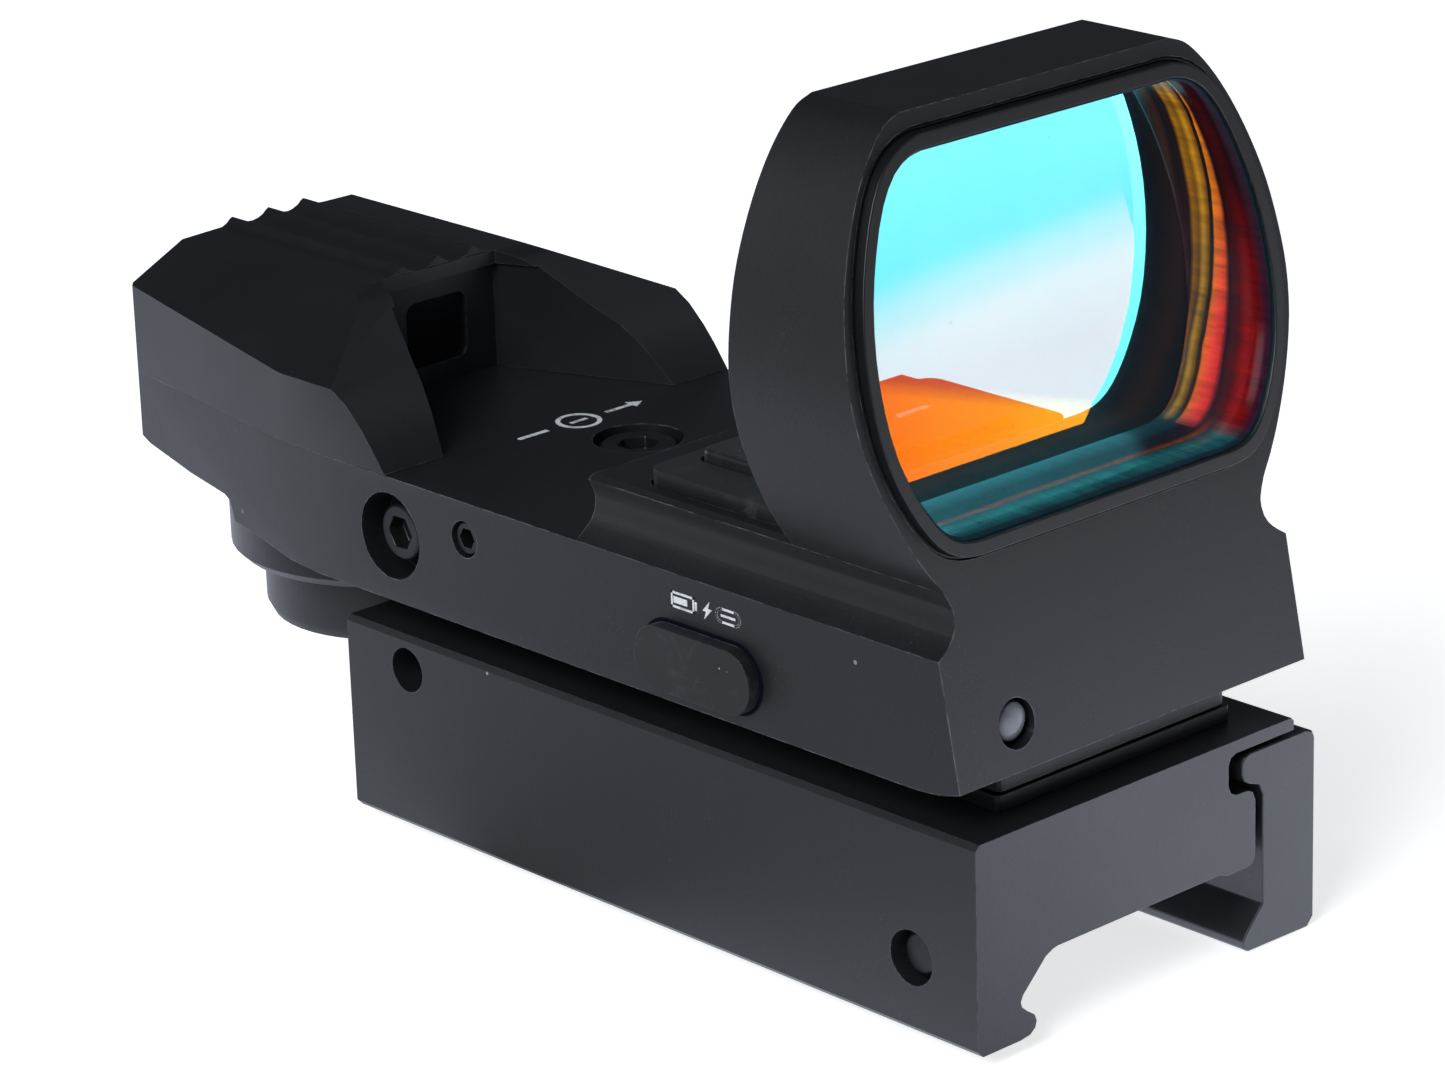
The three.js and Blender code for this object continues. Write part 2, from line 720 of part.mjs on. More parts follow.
add(
  "reticle_drum",
  turned(
    [[2.2, 20.36], [4.3, 20.36], [4.3, 25.4], [3.8, 25.4], [3.8, 20.9], [2.2, 20.9], [2.2, 20.36]],
    DRUM_X,
    0,
    28,
  ).subtract(box(DRUM_X, -30, -1.3, 1.3, 21.4, 24.6)),
  0x111214,
  0.5,
);
add(
  "reticle_film",
  turned([[4.35, 21.0], [4.5, 21.0], [4.5, 25.0], [4.35, 25.0], [4.35, 21.0]], DRUM_X, 0, 28),
  0x30343a,
  0.2,
);
{
  const ring = turned(
    [[4.28, 18.52], [5.5, 18.52], [5.5, 18.92], [4.28, 18.92], [4.28, 18.52]],
    DRUM_X,
    0,
    24,
  ).subtract(box(DRUM_X - 8, DRUM_X, -1.2, 1.2, 18, 20));
  add("spindle_circlip", ring, STEEL, 0.3, 1);
}
{
  const ball = new THREE.SphereGeometry(0.72, 12, 8);
  ball.rotateX(Math.PI / 2);
  ball.translate(DRUM_X + 7.4, 0, 7.45);
  add("detent_ball", solidOf(ball), STEEL, 0.15, 1);
}
{
  const pts = [];
  for (let i = 0; i <= 24; i++) {
    const t = (i / 24) * 3 * 2 * Math.PI;
    pts.push(
      new THREE.Vector3(DRUM_X + 7.4 + 0.52 * Math.cos(t), 0.52 * Math.sin(t), 8.38 + (1.4 * i) / 24),
    );
  }
  const spring = new THREE.ExtrudeGeometry(shapeOf(circle(0.13, 6)), {
    steps: 24,
    extrudePath: new THREE.CatmullRomCurve3(pts),
  });
  add("detent_spring", solidOf(spring), STEEL, 0.3, 1);
}
// fixed light source inside the drum, hung from the cover
add("emitter_post", box(DRUM_X - 1.4, DRUM_X + 0.9, -1.6, 1.6, 21.2, 26.1), 0x15171a, 0.6);
add(
  "emitter_diode",
  push("x", stadium(-0.8, 0.8, 22.2, 23.8, 0.3, 3), DRUM_X + 0.95, DRUM_X + 1.7),
  0xc8332a,
  0.3,
);
for (const [i, y] of [[1, -12.3], [2, 12.3]])
  add(
    "cover_screw_" + i,
    turned(
      [[0, 11.0], [1.5, 11.0], [1.5, 12.1], [0.55, 12.1], [0.55, 22.2], [0, 22.2]],
      -31.4,
      y,
      20,
    ).subtract(push("z", hexagon(1.3, -31.4, y), 10, 11.7)),
    0x2a2b2e,
    0.35,
    0.8,
  );

// ---- adjusters -------------------------------------------------------------
add(
  "windage_screw",
  turnedY(
    [[0, -14.2], [1.75, -14.2], [1.95, -14.0], [1.95, -12.75], [1.5, -12.7], [1.5, -4.9], [1.2, -4.55], [0, -4.55]],
    WINDAGE_X,
    WINDAGE_Z,
    32,
  ).subtract(push("y", hexagon(2.0, WINDAGE_X, WINDAGE_Z), -16, -13.0)),
  0x55575b,
  0.35,
  0.9,
);
add(
  "windage_pusher",
  turnedY(
    [[1.7, -7.2], [2.0, -7.2], [2.0, -2.6], [1.6, -2.3], [0, -2.3], [0, -3.5], [1.7, -3.5], [1.7, -7.2]],
    WINDAGE_X,
    WINDAGE_Z,
    32,
  ),
  BRASS,
  0.4,
  0.9,
);
add(
  "elevation_lock_screw",
  turnedY(
    [[0, -14.75], [0.99, -14.75], [1.12, -14.6], [1.12, -2.3], [0.62, -1.7], [0, -1.7]],
    LOCK_X,
    LOCK_Z,
    24,
  ).subtract(push("y", hexagon(1.25, LOCK_X, LOCK_Z), -16, -13.2)),
  0x2a2b2e,
  0.35,
  0.8,
);
add(
  "elevation_screw",
  turned(
    [[0, 10.35], [1.2, 10.35], [1.45, 10.7], [1.45, 17.66], [2.6, 17.66], [2.6, 18.7], [2.4, 18.9], [0, 18.9]],
    ELEV_X,
    ELEV_Y,
    32,
  ).subtract(push("z", hexagon(2.5, ELEV_X, ELEV_Y), 18.0, 20)),
  0x3a3b3e,
  0.35,
  0.9,
);
add(
  "elevation_foot",
  turned(
    [[0, 8.52], [1.7, 8.52], [2.2, 9.0], [2.2, 13.4], [1.58, 13.4], [1.58, 9.3], [0, 9.3], [0, 8.52]],
    ELEV_X,
    ELEV_Y,
    32,
  ),
  BRASS,
  0.4,
  0.9,
);
add("tilt_pin", rod("y", 1.16, -12.3, 14.6, TILT_X, TILT_Z, 32), STEEL, 0.35, 0.9);

// ---- electronics -----------------------------------------------------------
let floor = box(-28.2, 8.0, -12.6, 12.6, BODY_BOTTOM + 0.02, 11.9);
floor = floor
  .subtract(rod("z", 3.0, 5, 15, POST_X, 0, 32))
  .subtract(rod("z", 2.45, 5, 15, ELEV_X, ELEV_Y, 32));
for (const x of FLOOR_SCREW_X)
  for (const y of [-11.6, 11.6])
    floor = floor
      .subtract(rod("z", 0.7, 5, 15, x, y, 12))
      .subtract(rod("z", 0.95, 5, 11.5, x, y, 16));
add("floor_plate", floor, BLACK, 0.5, 0.2);
{
  let i = 1;
  for (const x of FLOOR_SCREW_X)
    for (const y of [-11.6, 11.6])
      add(
        "floor_screw_" + i++,
        turned(
          [[0, 10.95], [0.88, 10.95], [0.88, 11.45], [0.55, 11.55], [0.55, 13.9], [0, 13.9]],
          x,
          y,
          16,
        ),
        STEEL,
        0.35,
        0.9,
      );
}
let board = box(-12.6, 7.4, -10.1, 10.1, 13.3, 14.3);
board = board.subtract(box(1.2, 11, -12, -6.85, 12, 16));
add("circuit_board", board, 0x1f5a3a, 0.5);
add("battery_cell", push("z", stadium(-12.2, 0.8, -9.6, 9.6, 0.8, 3), 14.5, 17.1), 0xb9bcc2, 0.4, 0.4);
let socket = push("y", stadium(1.65, 10.55, 12.3, 15.3, 1.45, 6), -12.7, -7.0);
socket = socket.subtract(push("y", stadium(1.95, 10.25, 12.6, 15.0, 1.15, 6), -14, -7.6));
socket = socket.subtract(box(2.4, 9.8, -8, -6.5, 13.1, 14.5));
add("usb_socket_shell", socket, 0xc3c6ca, 0.25, 1);
add("usb_socket_tongue", box(2.75, 9.45, -12.1, -7.05, 13.45, 14.15), 0x15161a, 0.5);
for (const [n, y] of [["near", -4.75], ["far", 4.75]])
  add(
    "dome_switch_" + n,
    turned([[0, 14.4], [1.9, 14.4], [1.9, 15.0], [1.5, 15.35], [0, 15.5]], 4.6, y, 24),
    0xa9acb0,
    0.3,
    0.9,
  );
add(
  "charge_light_lens",
  (() => {
    const pts = [[0, -2.2], [1.22, -2.2], [1.22, -0.55]];
    for (let i = 1; i <= 6; i++) {
      const t = (i / 6) * (Math.PI / 2);
      pts.push([1.22 * Math.cos(t) + (i === 6 ? 0 : 0), -0.55 + 0.42 * Math.sin(t)]);
    }
    pts[pts.length - 1][0] = 0;
    const g = new THREE.LatheGeometry(pts.map(([r, y]) => new THREE.Vector2(r, y)), 28);
    g.rotateZ(-Math.PI / 2);
    g.translate(frontX(14.2), -9.7, 14.2);
    const s = solidOf(g);
    return s.volume() < 0 ? solidOf(flipped(g)) : s;
  })(),
  0xc9ccd2,
  0.2,
);

// ---- keypad ----------------------------------------------------------------
let pad = push("z", stadium(-1.5, 11.0, -12.25, 12.25, 1.2, 5), 22.4, 24.05);
for (const y of [-4.75, 4.75])
  pad = pad.subtract(push("z", stadium(-0.45, 9.7, y - 4.4, y + 4.4, 0.9, 5), 22.9, 25)).subtract(
    box(2.8, 6.4, y - 1.8, y + 1.8, 20, 25),
  );
add("keypad_frame", pad, RUBBER, 0.75);
for (const [n, y] of [["near", -4.75], ["far", 4.75]]) {
  let key = push("z", stadium(-0.25, 9.5, y - 4.2, y + 4.2, 0.8, 5), 23.45, 24.75);
  key = key.add(box(3.4, 5.8, y - 1.2, y + 1.2, 15.95, 23.6));
  add("key_" + n, key, RUBBER, 0.75);
}

// ---- charging port plug ----------------------------------------------------
let plug = push("y", stadium(1.0, 11.2, 11.72, 15.9, 2.07, 10), -15.95, -15.05);
plug = plug.add(push("y", stadium(1.3, 10.9, 11.95, 15.65, 1.83, 8), -15.3, -13.1));
plug = plug.subtract(push("y", stadium(1.9, 10.3, 12.5, 15.1, 1.28, 6), -14.4, -12));
add("port_plug", plug, RUBBER, 0.7);

export default finder;
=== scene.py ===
# Looks of the red dot finder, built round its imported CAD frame. Metres, +X towards the target, +Z up.
import bpy, bmesh, math, random
from mathutils import Matrix, Vector


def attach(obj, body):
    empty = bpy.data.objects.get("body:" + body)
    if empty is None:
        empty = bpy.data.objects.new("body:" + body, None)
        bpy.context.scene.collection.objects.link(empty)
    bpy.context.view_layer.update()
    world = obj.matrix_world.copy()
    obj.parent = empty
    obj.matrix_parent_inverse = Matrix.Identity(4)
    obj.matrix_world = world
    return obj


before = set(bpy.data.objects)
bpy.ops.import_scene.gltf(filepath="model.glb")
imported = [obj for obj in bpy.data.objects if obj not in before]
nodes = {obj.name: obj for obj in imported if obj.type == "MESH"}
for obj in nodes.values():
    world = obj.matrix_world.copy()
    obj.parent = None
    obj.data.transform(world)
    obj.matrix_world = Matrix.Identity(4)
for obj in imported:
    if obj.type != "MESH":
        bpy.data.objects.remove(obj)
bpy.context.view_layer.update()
MM = 0.001
scene = bpy.context.scene
scene.view_settings.view_transform = "Standard"
scene.view_settings.look = "None"

# ---------------------------------------------------------------- node helpers
def new_mat(name):
    m = bpy.data.materials.new(name)
    m.use_nodes = True
    t = m.node_tree
    t.nodes.clear()
    out = t.nodes.new("ShaderNodeOutputMaterial")
    return m, t, out

class G:
    """Small shorthand for wiring a node tree."""
    def __init__(self, t):
        self.t = t
        self.tc = t.nodes.new("ShaderNodeTexCoord")
    def n(self, kind, **kw):
        x = self.t.nodes.new(kind)
        for k, v in kw.items():
            setattr(x, k, v)
        return x
    def link(self, a, b):
        self.t.links.new(a, b)
    @property
    def obj(self):
        return self.tc.outputs["Object"]
    def noise(self, scale, detail=2.0, rough=0.5, vec=None, dist=0.0):
        x = self.n("ShaderNodeTexNoise")
        x.inputs["Scale"].default_value = scale
        x.inputs["Detail"].default_value = detail
        x.inputs["Roughness"].default_value = rough
        x.inputs["Distortion"].default_value = dist
        self.link(vec or self.obj, x.inputs["Vector"])
        return x.outputs["Fac"]
    def voronoi(self, scale, vec=None, feature="F1", rnd=1.0):
        x = self.n("ShaderNodeTexVoronoi", feature=feature)
        x.inputs["Scale"].default_value = scale
        x.inputs["Randomness"].default_value = rnd
        self.link(vec or self.obj, x.inputs["Vector"])
        return x
    def ramp(self, fac, stops, interp="LINEAR"):
        x = self.n("ShaderNodeValToRGB")
        x.color_ramp.interpolation = interp
        e = x.color_ramp.elements
        while len(e) > 1:
            e.remove(e[-1])
        for i, (p, c) in enumerate(stops):
            el = e[0] if i == 0 else e.new(p)
            el.position = p
            el.color = (*c, 1.0) if isinstance(c, tuple) else (c, c, c, 1.0)
        self.link(fac, x.inputs["Fac"])
        return x.outputs["Color"]
    def math(self, op, a, b=None, c=None, clamp=False):
        x = self.n("ShaderNodeMath", operation=op, use_clamp=clamp)
        for i, v in enumerate((a, b, c)):
            if v is None:
                continue
            if isinstance(v, (int, float)):
                x.inputs[i].default_value = v
            else:
                self.link(v, x.inputs[i])
        return x.outputs[0]
    def mix(self, fac, a, b, blend="MIX"):
        x = self.n("ShaderNodeMix", data_type="RGBA", blend_type=blend)
        for i, v in ((0, fac), (6, a), (7, b)):
            sock = x.inputs[i]
            if isinstance(v, tuple):
                sock.default_value = (*v, 1.0)
            elif isinstance(v, (int, float)):
                sock.default_value = v if i == 0 else (v, v, v, 1.0)
            else:
                self.link(v, sock)
        return x.outputs[2]
    def xyz(self):
        x = self.n("ShaderNodeSeparateXYZ")
        self.link(self.obj, x.inputs[0])
        return x.outputs
    def bump(self, height, strength, distance, normal=None):
        x = self.n("ShaderNodeBump")
        x.inputs["Strength"].default_value = strength
        x.inputs["Distance"].default_value = distance
        self.link(height, x.inputs["Height"])
        if normal is not None:
            self.link(normal, x.inputs["Normal"])
        return x.outputs["Normal"]
    def principled(self, out, **kw):
        p = self.n("ShaderNodeBsdfPrincipled")
        for k, v in kw.items():
            s = p.inputs[k]
            if isinstance(v, tuple):
                s.default_value = (*v, 1.0) if len(s.default_value) == 4 else v
            elif isinstance(v, (int, float)):
                s.default_value = v
            else:
                self.link(v, s)
        self.link(p.outputs[0], out.inputs[0])
        return p

def edge_mask(g, radius_mm, samples=6):
    """How far the surface turns within a small radius: bright on edges, which the materials lighten as rubbed-through
    finish and, on the anodised parts, as painted edge glints.
    """
    b = g.n("ShaderNodeBevel", samples=samples)
    b.inputs["Radius"].default_value = radius_mm * MM
    geo = g.n("ShaderNodeNewGeometry")
    d = g.n("ShaderNodeVectorMath", operation="DOT_PRODUCT")
    g.link(b.outputs[0], d.inputs[0])
    g.link(geo.outputs["Normal"], d.inputs[1])
    return g.math("SUBTRACT", 1.0, d.outputs["Value"], clamp=True)

# ---------------------------------------------------------------- materials
def mat_anodised(name, base=(0.0062, 0.0066, 0.0080), grain=1.0, dust=1.0, wear_glint_amount=1.0, rough=0.42, spec=0.5, glint_amount=0.0):
    m, t, out = new_mat(name)
    g = G(t)
    fine = g.noise(7200, 2.0, 0.6)
    mid = g.noise(1500, 3.0, 0.55)
    cloud = g.noise(95, 3.0, 0.6)
    col = g.mix(g.ramp(cloud, [(0.3, 0.0), (0.72, 1.0)]), base, tuple(c * 1.28 for c in base))
    col = g.mix(g.ramp(fine, [(0.35, 0.0), (0.75, 1.0)]), col, tuple(c * 1.5 for c in base))
    # painted glints: tiny bright specks mixed into the colour, standing in for blasted pits catching the light
    pit = g.voronoi(4300)
    glint_specks = g.ramp(pit.outputs["Distance"], [(0.0, 1.0), (0.16, 0.0)])
    glint_mask = g.math("MULTIPLY", glint_specks, g.ramp(g.noise(260, 2.0), [(0.5, 0.0), (0.66, 1.0)]))
    col = g.mix(g.math("MULTIPLY", glint_mask, 0.45 + glint_amount), col, (0.16, 0.165, 0.18))
    # dust motes
    v = g.voronoi(620)
    motes = g.ramp(v.outputs["Distance"], [(0.0, 1.0), (0.075, 1.0), (0.1, 0.0)])
    pick = g.n("ShaderNodeSeparateColor")
    g.link(v.outputs["Color"], pick.inputs[0])
    chosen = g.math("GREATER_THAN", pick.outputs[0], 0.975)
    area = g.ramp(g.noise(70, 2.0), [(0.46, 0.0), (0.6, 1.0)])
    mote = g.math("MULTIPLY", g.math("MULTIPLY", motes, chosen), g.math("MULTIPLY", area, dust), clamp=True)
    col = g.mix(mote, col, (0.55, 0.56, 0.58))
    # edges lightened: partly rubbed-through finish, partly painted edge glints
    e = edge_mask(g, 0.14)
    scuff = g.ramp(g.noise(900, 4.0, 0.7), [(0.4, 0.0), (0.62, 1.0)])
    edge_wear_glint = g.math("MULTIPLY", g.ramp(e, [(0.03, 0.0), (0.22, 1.0)]), g.math("MULTIPLY", scuff, 0.55 * wear_glint_amount), clamp=True)
    col = g.mix(edge_wear_glint, col, (0.24, 0.245, 0.26))
    r = g.math("ADD", rough - 0.07, g.math("MULTIPLY", cloud, 0.14))
    r = g.math("ADD", r, g.math("MULTIPLY", mid, 0.05))
    h = g.math("ADD", g.math("MULTIPLY", fine, 0.6), g.math("MULTIPLY", mid, 0.55))
    nrm = g.bump(h, 0.5 * grain, 0.02 * MM)
    g.principled(out, **{"Base Color": col, "Roughness": r, "Normal": nrm, "Metallic": 0.0,
                         "Specular IOR Level": spec, "IOR": 1.5})
    return m

def mat_polymer(name, base, rough=0.5, spec=0.4, grain=0.35, dust=0.4, wear_glint_amount=0.5):
    m, t, out = new_mat(name)
    g = G(t)
    fine = g.noise(5200, 3.0, 0.6)
    cloud = g.noise(120, 3.0, 0.6)
    col = g.mix(g.ramp(cloud, [(0.3, 0.0), (0.75, 1.0)]), base, tuple(c * 1.35 for c in base))
    v = g.voronoi(820)
    pick = g.n("ShaderNodeSeparateColor")
    g.link(v.outputs["Color"], pick.inputs[0])
    motes = g.ramp(v.outputs["Distance"], [(0.0, 1.0), (0.07, 1.0), (0.1, 0.0)])
    mote = g.math("MULTIPLY", g.math("MULTIPLY", motes, g.math("GREATER_THAN", pick.outputs[0], 0.972)), dust, clamp=True)
    col = g.mix(mote, col, (0.5, 0.5, 0.52))
    e = edge_mask(g, 0.12)
    edge_wear_glint = g.math("MULTIPLY", g.ramp(e, [(0.03, 0.0), (0.25, 1.0)]), g.math("MULTIPLY", g.ramp(g.noise(700, 4.0, 0.7), [(0.42, 0.0), (0.6, 1.0)]), wear_glint_amount), clamp=True)
    col = g.mix(edge_wear_glint, col, (0.16, 0.165, 0.18))
    r = g.math("ADD", rough - 0.08, g.math("MULTIPLY", cloud, 0.16))
    nrm = g.bump(g.math("ADD", fine, g.noise(1300, 2.0)), grain, 0.012 * MM)
    g.principled(out, **{"Base Color": col, "Roughness": r, "Normal": nrm, "Specular IOR Level": spec, "IOR": 1.5})
    return m

def mat_rubber(name, base=(0.0075, 0.0078, 0.0088), rough=0.5):
    m, t, out = new_mat(name)
    g = G(t)
    fine = g.noise(3800, 4.0, 0.7)
    cloud = g.noise(210, 3.0, 0.6)
    smear = g.ramp(g.noise(430, 4.0, 0.75, dist=1.2), [(0.55, 0.0), (0.72, 1.0)])
    col = g.mix(g.ramp(cloud, [(0.3, 0.0), (0.75, 1.0)]), base, tuple(c * 1.6 for c in base))
    col = g.mix(g.math("MULTIPLY", smear, 0.35), col, (0.075, 0.077, 0.082))
    v = g.voronoi(1500)
    pick = g.n("ShaderNodeSeparateColor")
    g.link(v.outputs["Color"], pick.inputs[0])
    motes = g.ramp(v.outputs["Distance"], [(0.0, 1.0), (0.08, 1.0), (0.12, 0.0)])
    mote = g.math("MULTIPLY", g.math("MULTIPLY", motes, g.math("GREATER_THAN", pick.outputs[0], 0.965)), g.ramp(g.noise(260), [(0.5, 0.0), (0.6, 1.0)]), clamp=True)
    col = g.mix(mote, col, (0.42, 0.42, 0.43))
    r = g.math("ADD", rough - 0.08, g.math("MULTIPLY", smear, 0.12))
    nrm = g.bump(g.math("ADD", g.math("MULTIPLY", fine, 0.6), cloud), 0.5, 0.02 * MM)
    g.principled(out, **{"Base Color": col, "Roughness": r, "Normal": nrm, "Specular IOR Level": 0.4, "IOR": 1.5,
                         "Sheen Weight": 0.08, "Sheen Roughness": 0.4})
    return m

def mat_metal(name, base, rough=0.3, metallic=1.0, rings=0.0, grime=0.5):
    m, t, out = new_mat(name)
    g = G(t)
    cloud = g.noise(380, 4.0, 0.65)
    fine = g.noise(5200, 3.0, 0.7)
    col = g.mix(g.ramp(cloud, [(0.35, 0.0), (0.7, 1.0)]), tuple(c * 0.62 for c in base), base)
    e = edge_mask(g, 0.08)
    edge_wear_glint = g.math("MULTIPLY", g.ramp(e, [(0.03, 0.0), (0.3, 1.0)]), g.ramp(g.noise(1200, 3.0), [(0.4, 0.0), (0.6, 1.0)]), clamp=True)
    col = g.mix(g.math("MULTIPLY", edge_wear_glint, 0.6), col, tuple(min(1.0, c * 2.6 + 0.08) for c in base))
    r = g.math("ADD", rough - 0.06, g.math("MULTIPLY", cloud, 0.18 * grime + 0.05))
    nrm = g.bump(g.math("ADD", fine, g.math("MULTIPLY", cloud, 0.6)), 0.35, 0.01 * MM)
    g.principled(out, **{"Base Color": col, "Roughness": r, "Normal": nrm, "Metallic": metallic, "Specular IOR Level": 0.5})
    return m

def mat_paint(name, base=(0.78, 0.79, 0.8)):
    m, t, out = new_mat(name)
    g = G(t)
    thin = g.ramp(g.noise(1700, 4.0, 0.75), [(0.34, 0.0), (0.5, 1.0)])
    col = g.mix(thin, tuple(c * 0.45 for c in base), base)
    r = g.math("ADD", 0.5, g.math("MULTIPLY", g.noise(900), 0.2))
    g.principled(out, **{"Base Color": col, "Roughness": r, "Normal": g.bump(g.noise(6000, 2.0), 0.4, 0.008 * MM)})
    return m

M = {}
M["body"] = mat_anodised("anodised_body", grain=1.6, wear_glint_amount=1.5, dust=1.2, glint_amount=0.3)
M["mount"] = mat_anodised("anodised_mount", base=(0.0078, 0.0082, 0.0098), grain=1.4, dust=0.9, wear_glint_amount=1.2, glint_amount=0.2)
M["pad"] = mat_anodised("anodised_pad", base=(0.005, 0.0052, 0.0062), grain=2.2, dust=1.6, wear_glint_amount=1.0, rough=0.42, glint_amount=0.4)
M["cover"] = mat_polymer("cover_polymer", (0.0060, 0.0063, 0.0076), rough=0.42, spec=0.45)
M["bezel"] = mat_polymer("bezel_satin", (0.008, 0.0082, 0.0096), rough=0.36, spec=0.5, grain=0.25, dust=0.25)
M["rubber"] = mat_rubber("black_rubber")
M["keyrubber"] = mat_rubber("key_rubber", base=(0.010, 0.0103, 0.0115), rough=0.46)
M["blacksteel"] = mat_metal("black_oxide_steel", (0.055, 0.056, 0.06), rough=0.34, metallic=0.85)
M["steel"] = mat_metal("plain_steel", (0.42, 0.42, 0.43), rough=0.28)
M["brass"] = mat_metal("turned_brass", (0.62, 0.43, 0.17), rough=0.3)
M["board"] = mat_polymer("green_laminate", (0.02, 0.12, 0.05), rough=0.4, spec=0.5)
M["foil"] = mat_metal("cell_foil", (0.6, 0.61, 0.63), rough=0.38)
M["red"] = mat_polymer("red_epoxy", (0.5, 0.03, 0.02), rough=0.25, spec=0.5)
M["paint"] = mat_paint("white_marking")

def glass_mat(name, tint):
    """Clear element with an anti-reflection coat: nearly all of the light goes straight through."""
    m, t, out = new_mat(name)
    g = G(t)
    smear = g.ramp(g.noise(160, 4.0, 0.65, dist=0.8), [(0.48, 0.0), (0.8, 1.0)])
    lint = g.voronoi(900)
    pick = g.n("ShaderNodeSeparateColor")
    g.link(lint.outputs["Color"], pick.inputs[0])
    specks = g.math("MULTIPLY", g.math("LESS_THAN", lint.outputs["Distance"], 0.08), g.math("GREATER_THAN", pick.outputs[0], 0.985))
    alpha = g.math("ADD", g.math("MULTIPLY", smear, 0.012), g.math("ADD", 0.014, g.math("MULTIPLY", specks, 0.25)), clamp=True)
    g.principled(out, **{"Base Color": g.mix(smear, tint, tuple(c * 0.9 for c in tint)), "Roughness": g.math("ADD", 0.02, g.math("MULTIPLY", smear, 0.05)),
                         "Metallic": 0.0, "Specular IOR Level": 0.6, "Alpha": alpha})
    return m

M["glass"] = glass_mat("coated_lens_glass", (0.10, 0.16, 0.22))
M["emitterglass"] = mat_polymer("dark_window", (0.0022, 0.0022, 0.003), rough=0.16, spec=0.35, grain=0.05, dust=0.3)

def mat_film():
    """Dichroic coating: mirrors amber, lets the rest through. The split from amber to pink is painted by position, as
    painted reflection colour.
    """
    m, t, out = new_mat("dichroic_coating")
    g = G(t)
    x = g.xyz()
    q = g.math("ADD", g.math("MULTIPLY", g.math("SUBTRACT", x["Z"], 0.03206), 1000.0), g.math("MULTIPLY", g.math("ADD", x["Y"], 0.01031), 300.0))
    q = g.math("ADD", q, g.math("MULTIPLY", g.math("SUBTRACT", g.noise(60, 2.0), 0.5), 0.5))
    across = g.math("MULTIPLY", g.math("ADD", x["Y"], g.math("ADD", 0.0123, g.math("MULTIPLY", g.math("SUBTRACT", g.noise(240, 3.0), 0.5), 0.004))), 1 / 0.017)
    amber = g.ramp(across, [(0.0, (1.0, 0.19, 0.0)), (0.55, (1.0, 0.30, 0.0)), (1.0, (1.0, 0.44, 0.0))])
    # painted reflection colour: pink laid over the amber by position
    col = g.mix(g.ramp(g.math("ADD", g.math("MULTIPLY", q, 0.25), 0.5), [(0.56, 0.0), (0.82, 1.0)]), amber, (0.62, 0.08, 0.02))
    r = g.math("ADD", 0.03, g.math("MULTIPLY", g.noise(300, 3.0), 0.02))
    g.principled(out, **{"Base Color": col, "Metallic": 1.0, "Roughness": r, "Alpha": 0.34})
    return m
def mat_tint():
    m, t, out = new_mat("cyan_transmission")
    g = G(t)
    n = g.noise(80, 2.0)
    low = g.ramp(g.math("MULTIPLY", g.math("SUBTRACT", g.xyz()["Z"], 0.030), 1 / 0.013), [(0.0, 0.0), (1.0, 1.0)])
    col = g.mix(low, g.mix(n, (0.11, 0.66, 0.775), (0.125, 0.68, 0.79)), g.mix(n, (0.195, 0.90, 1.0), (0.22, 0.93, 1.0)))
    g.principled(out, **{"Base Color": col, "Roughness": g.math("MULTIPLY", g.noise(200), 0.004), "Transmission Weight": 1.0, "IOR": 1.0, "Specular IOR Level": 0.0})
    return m
M["tint"] = mat_tint()
M["film"] = mat_film()

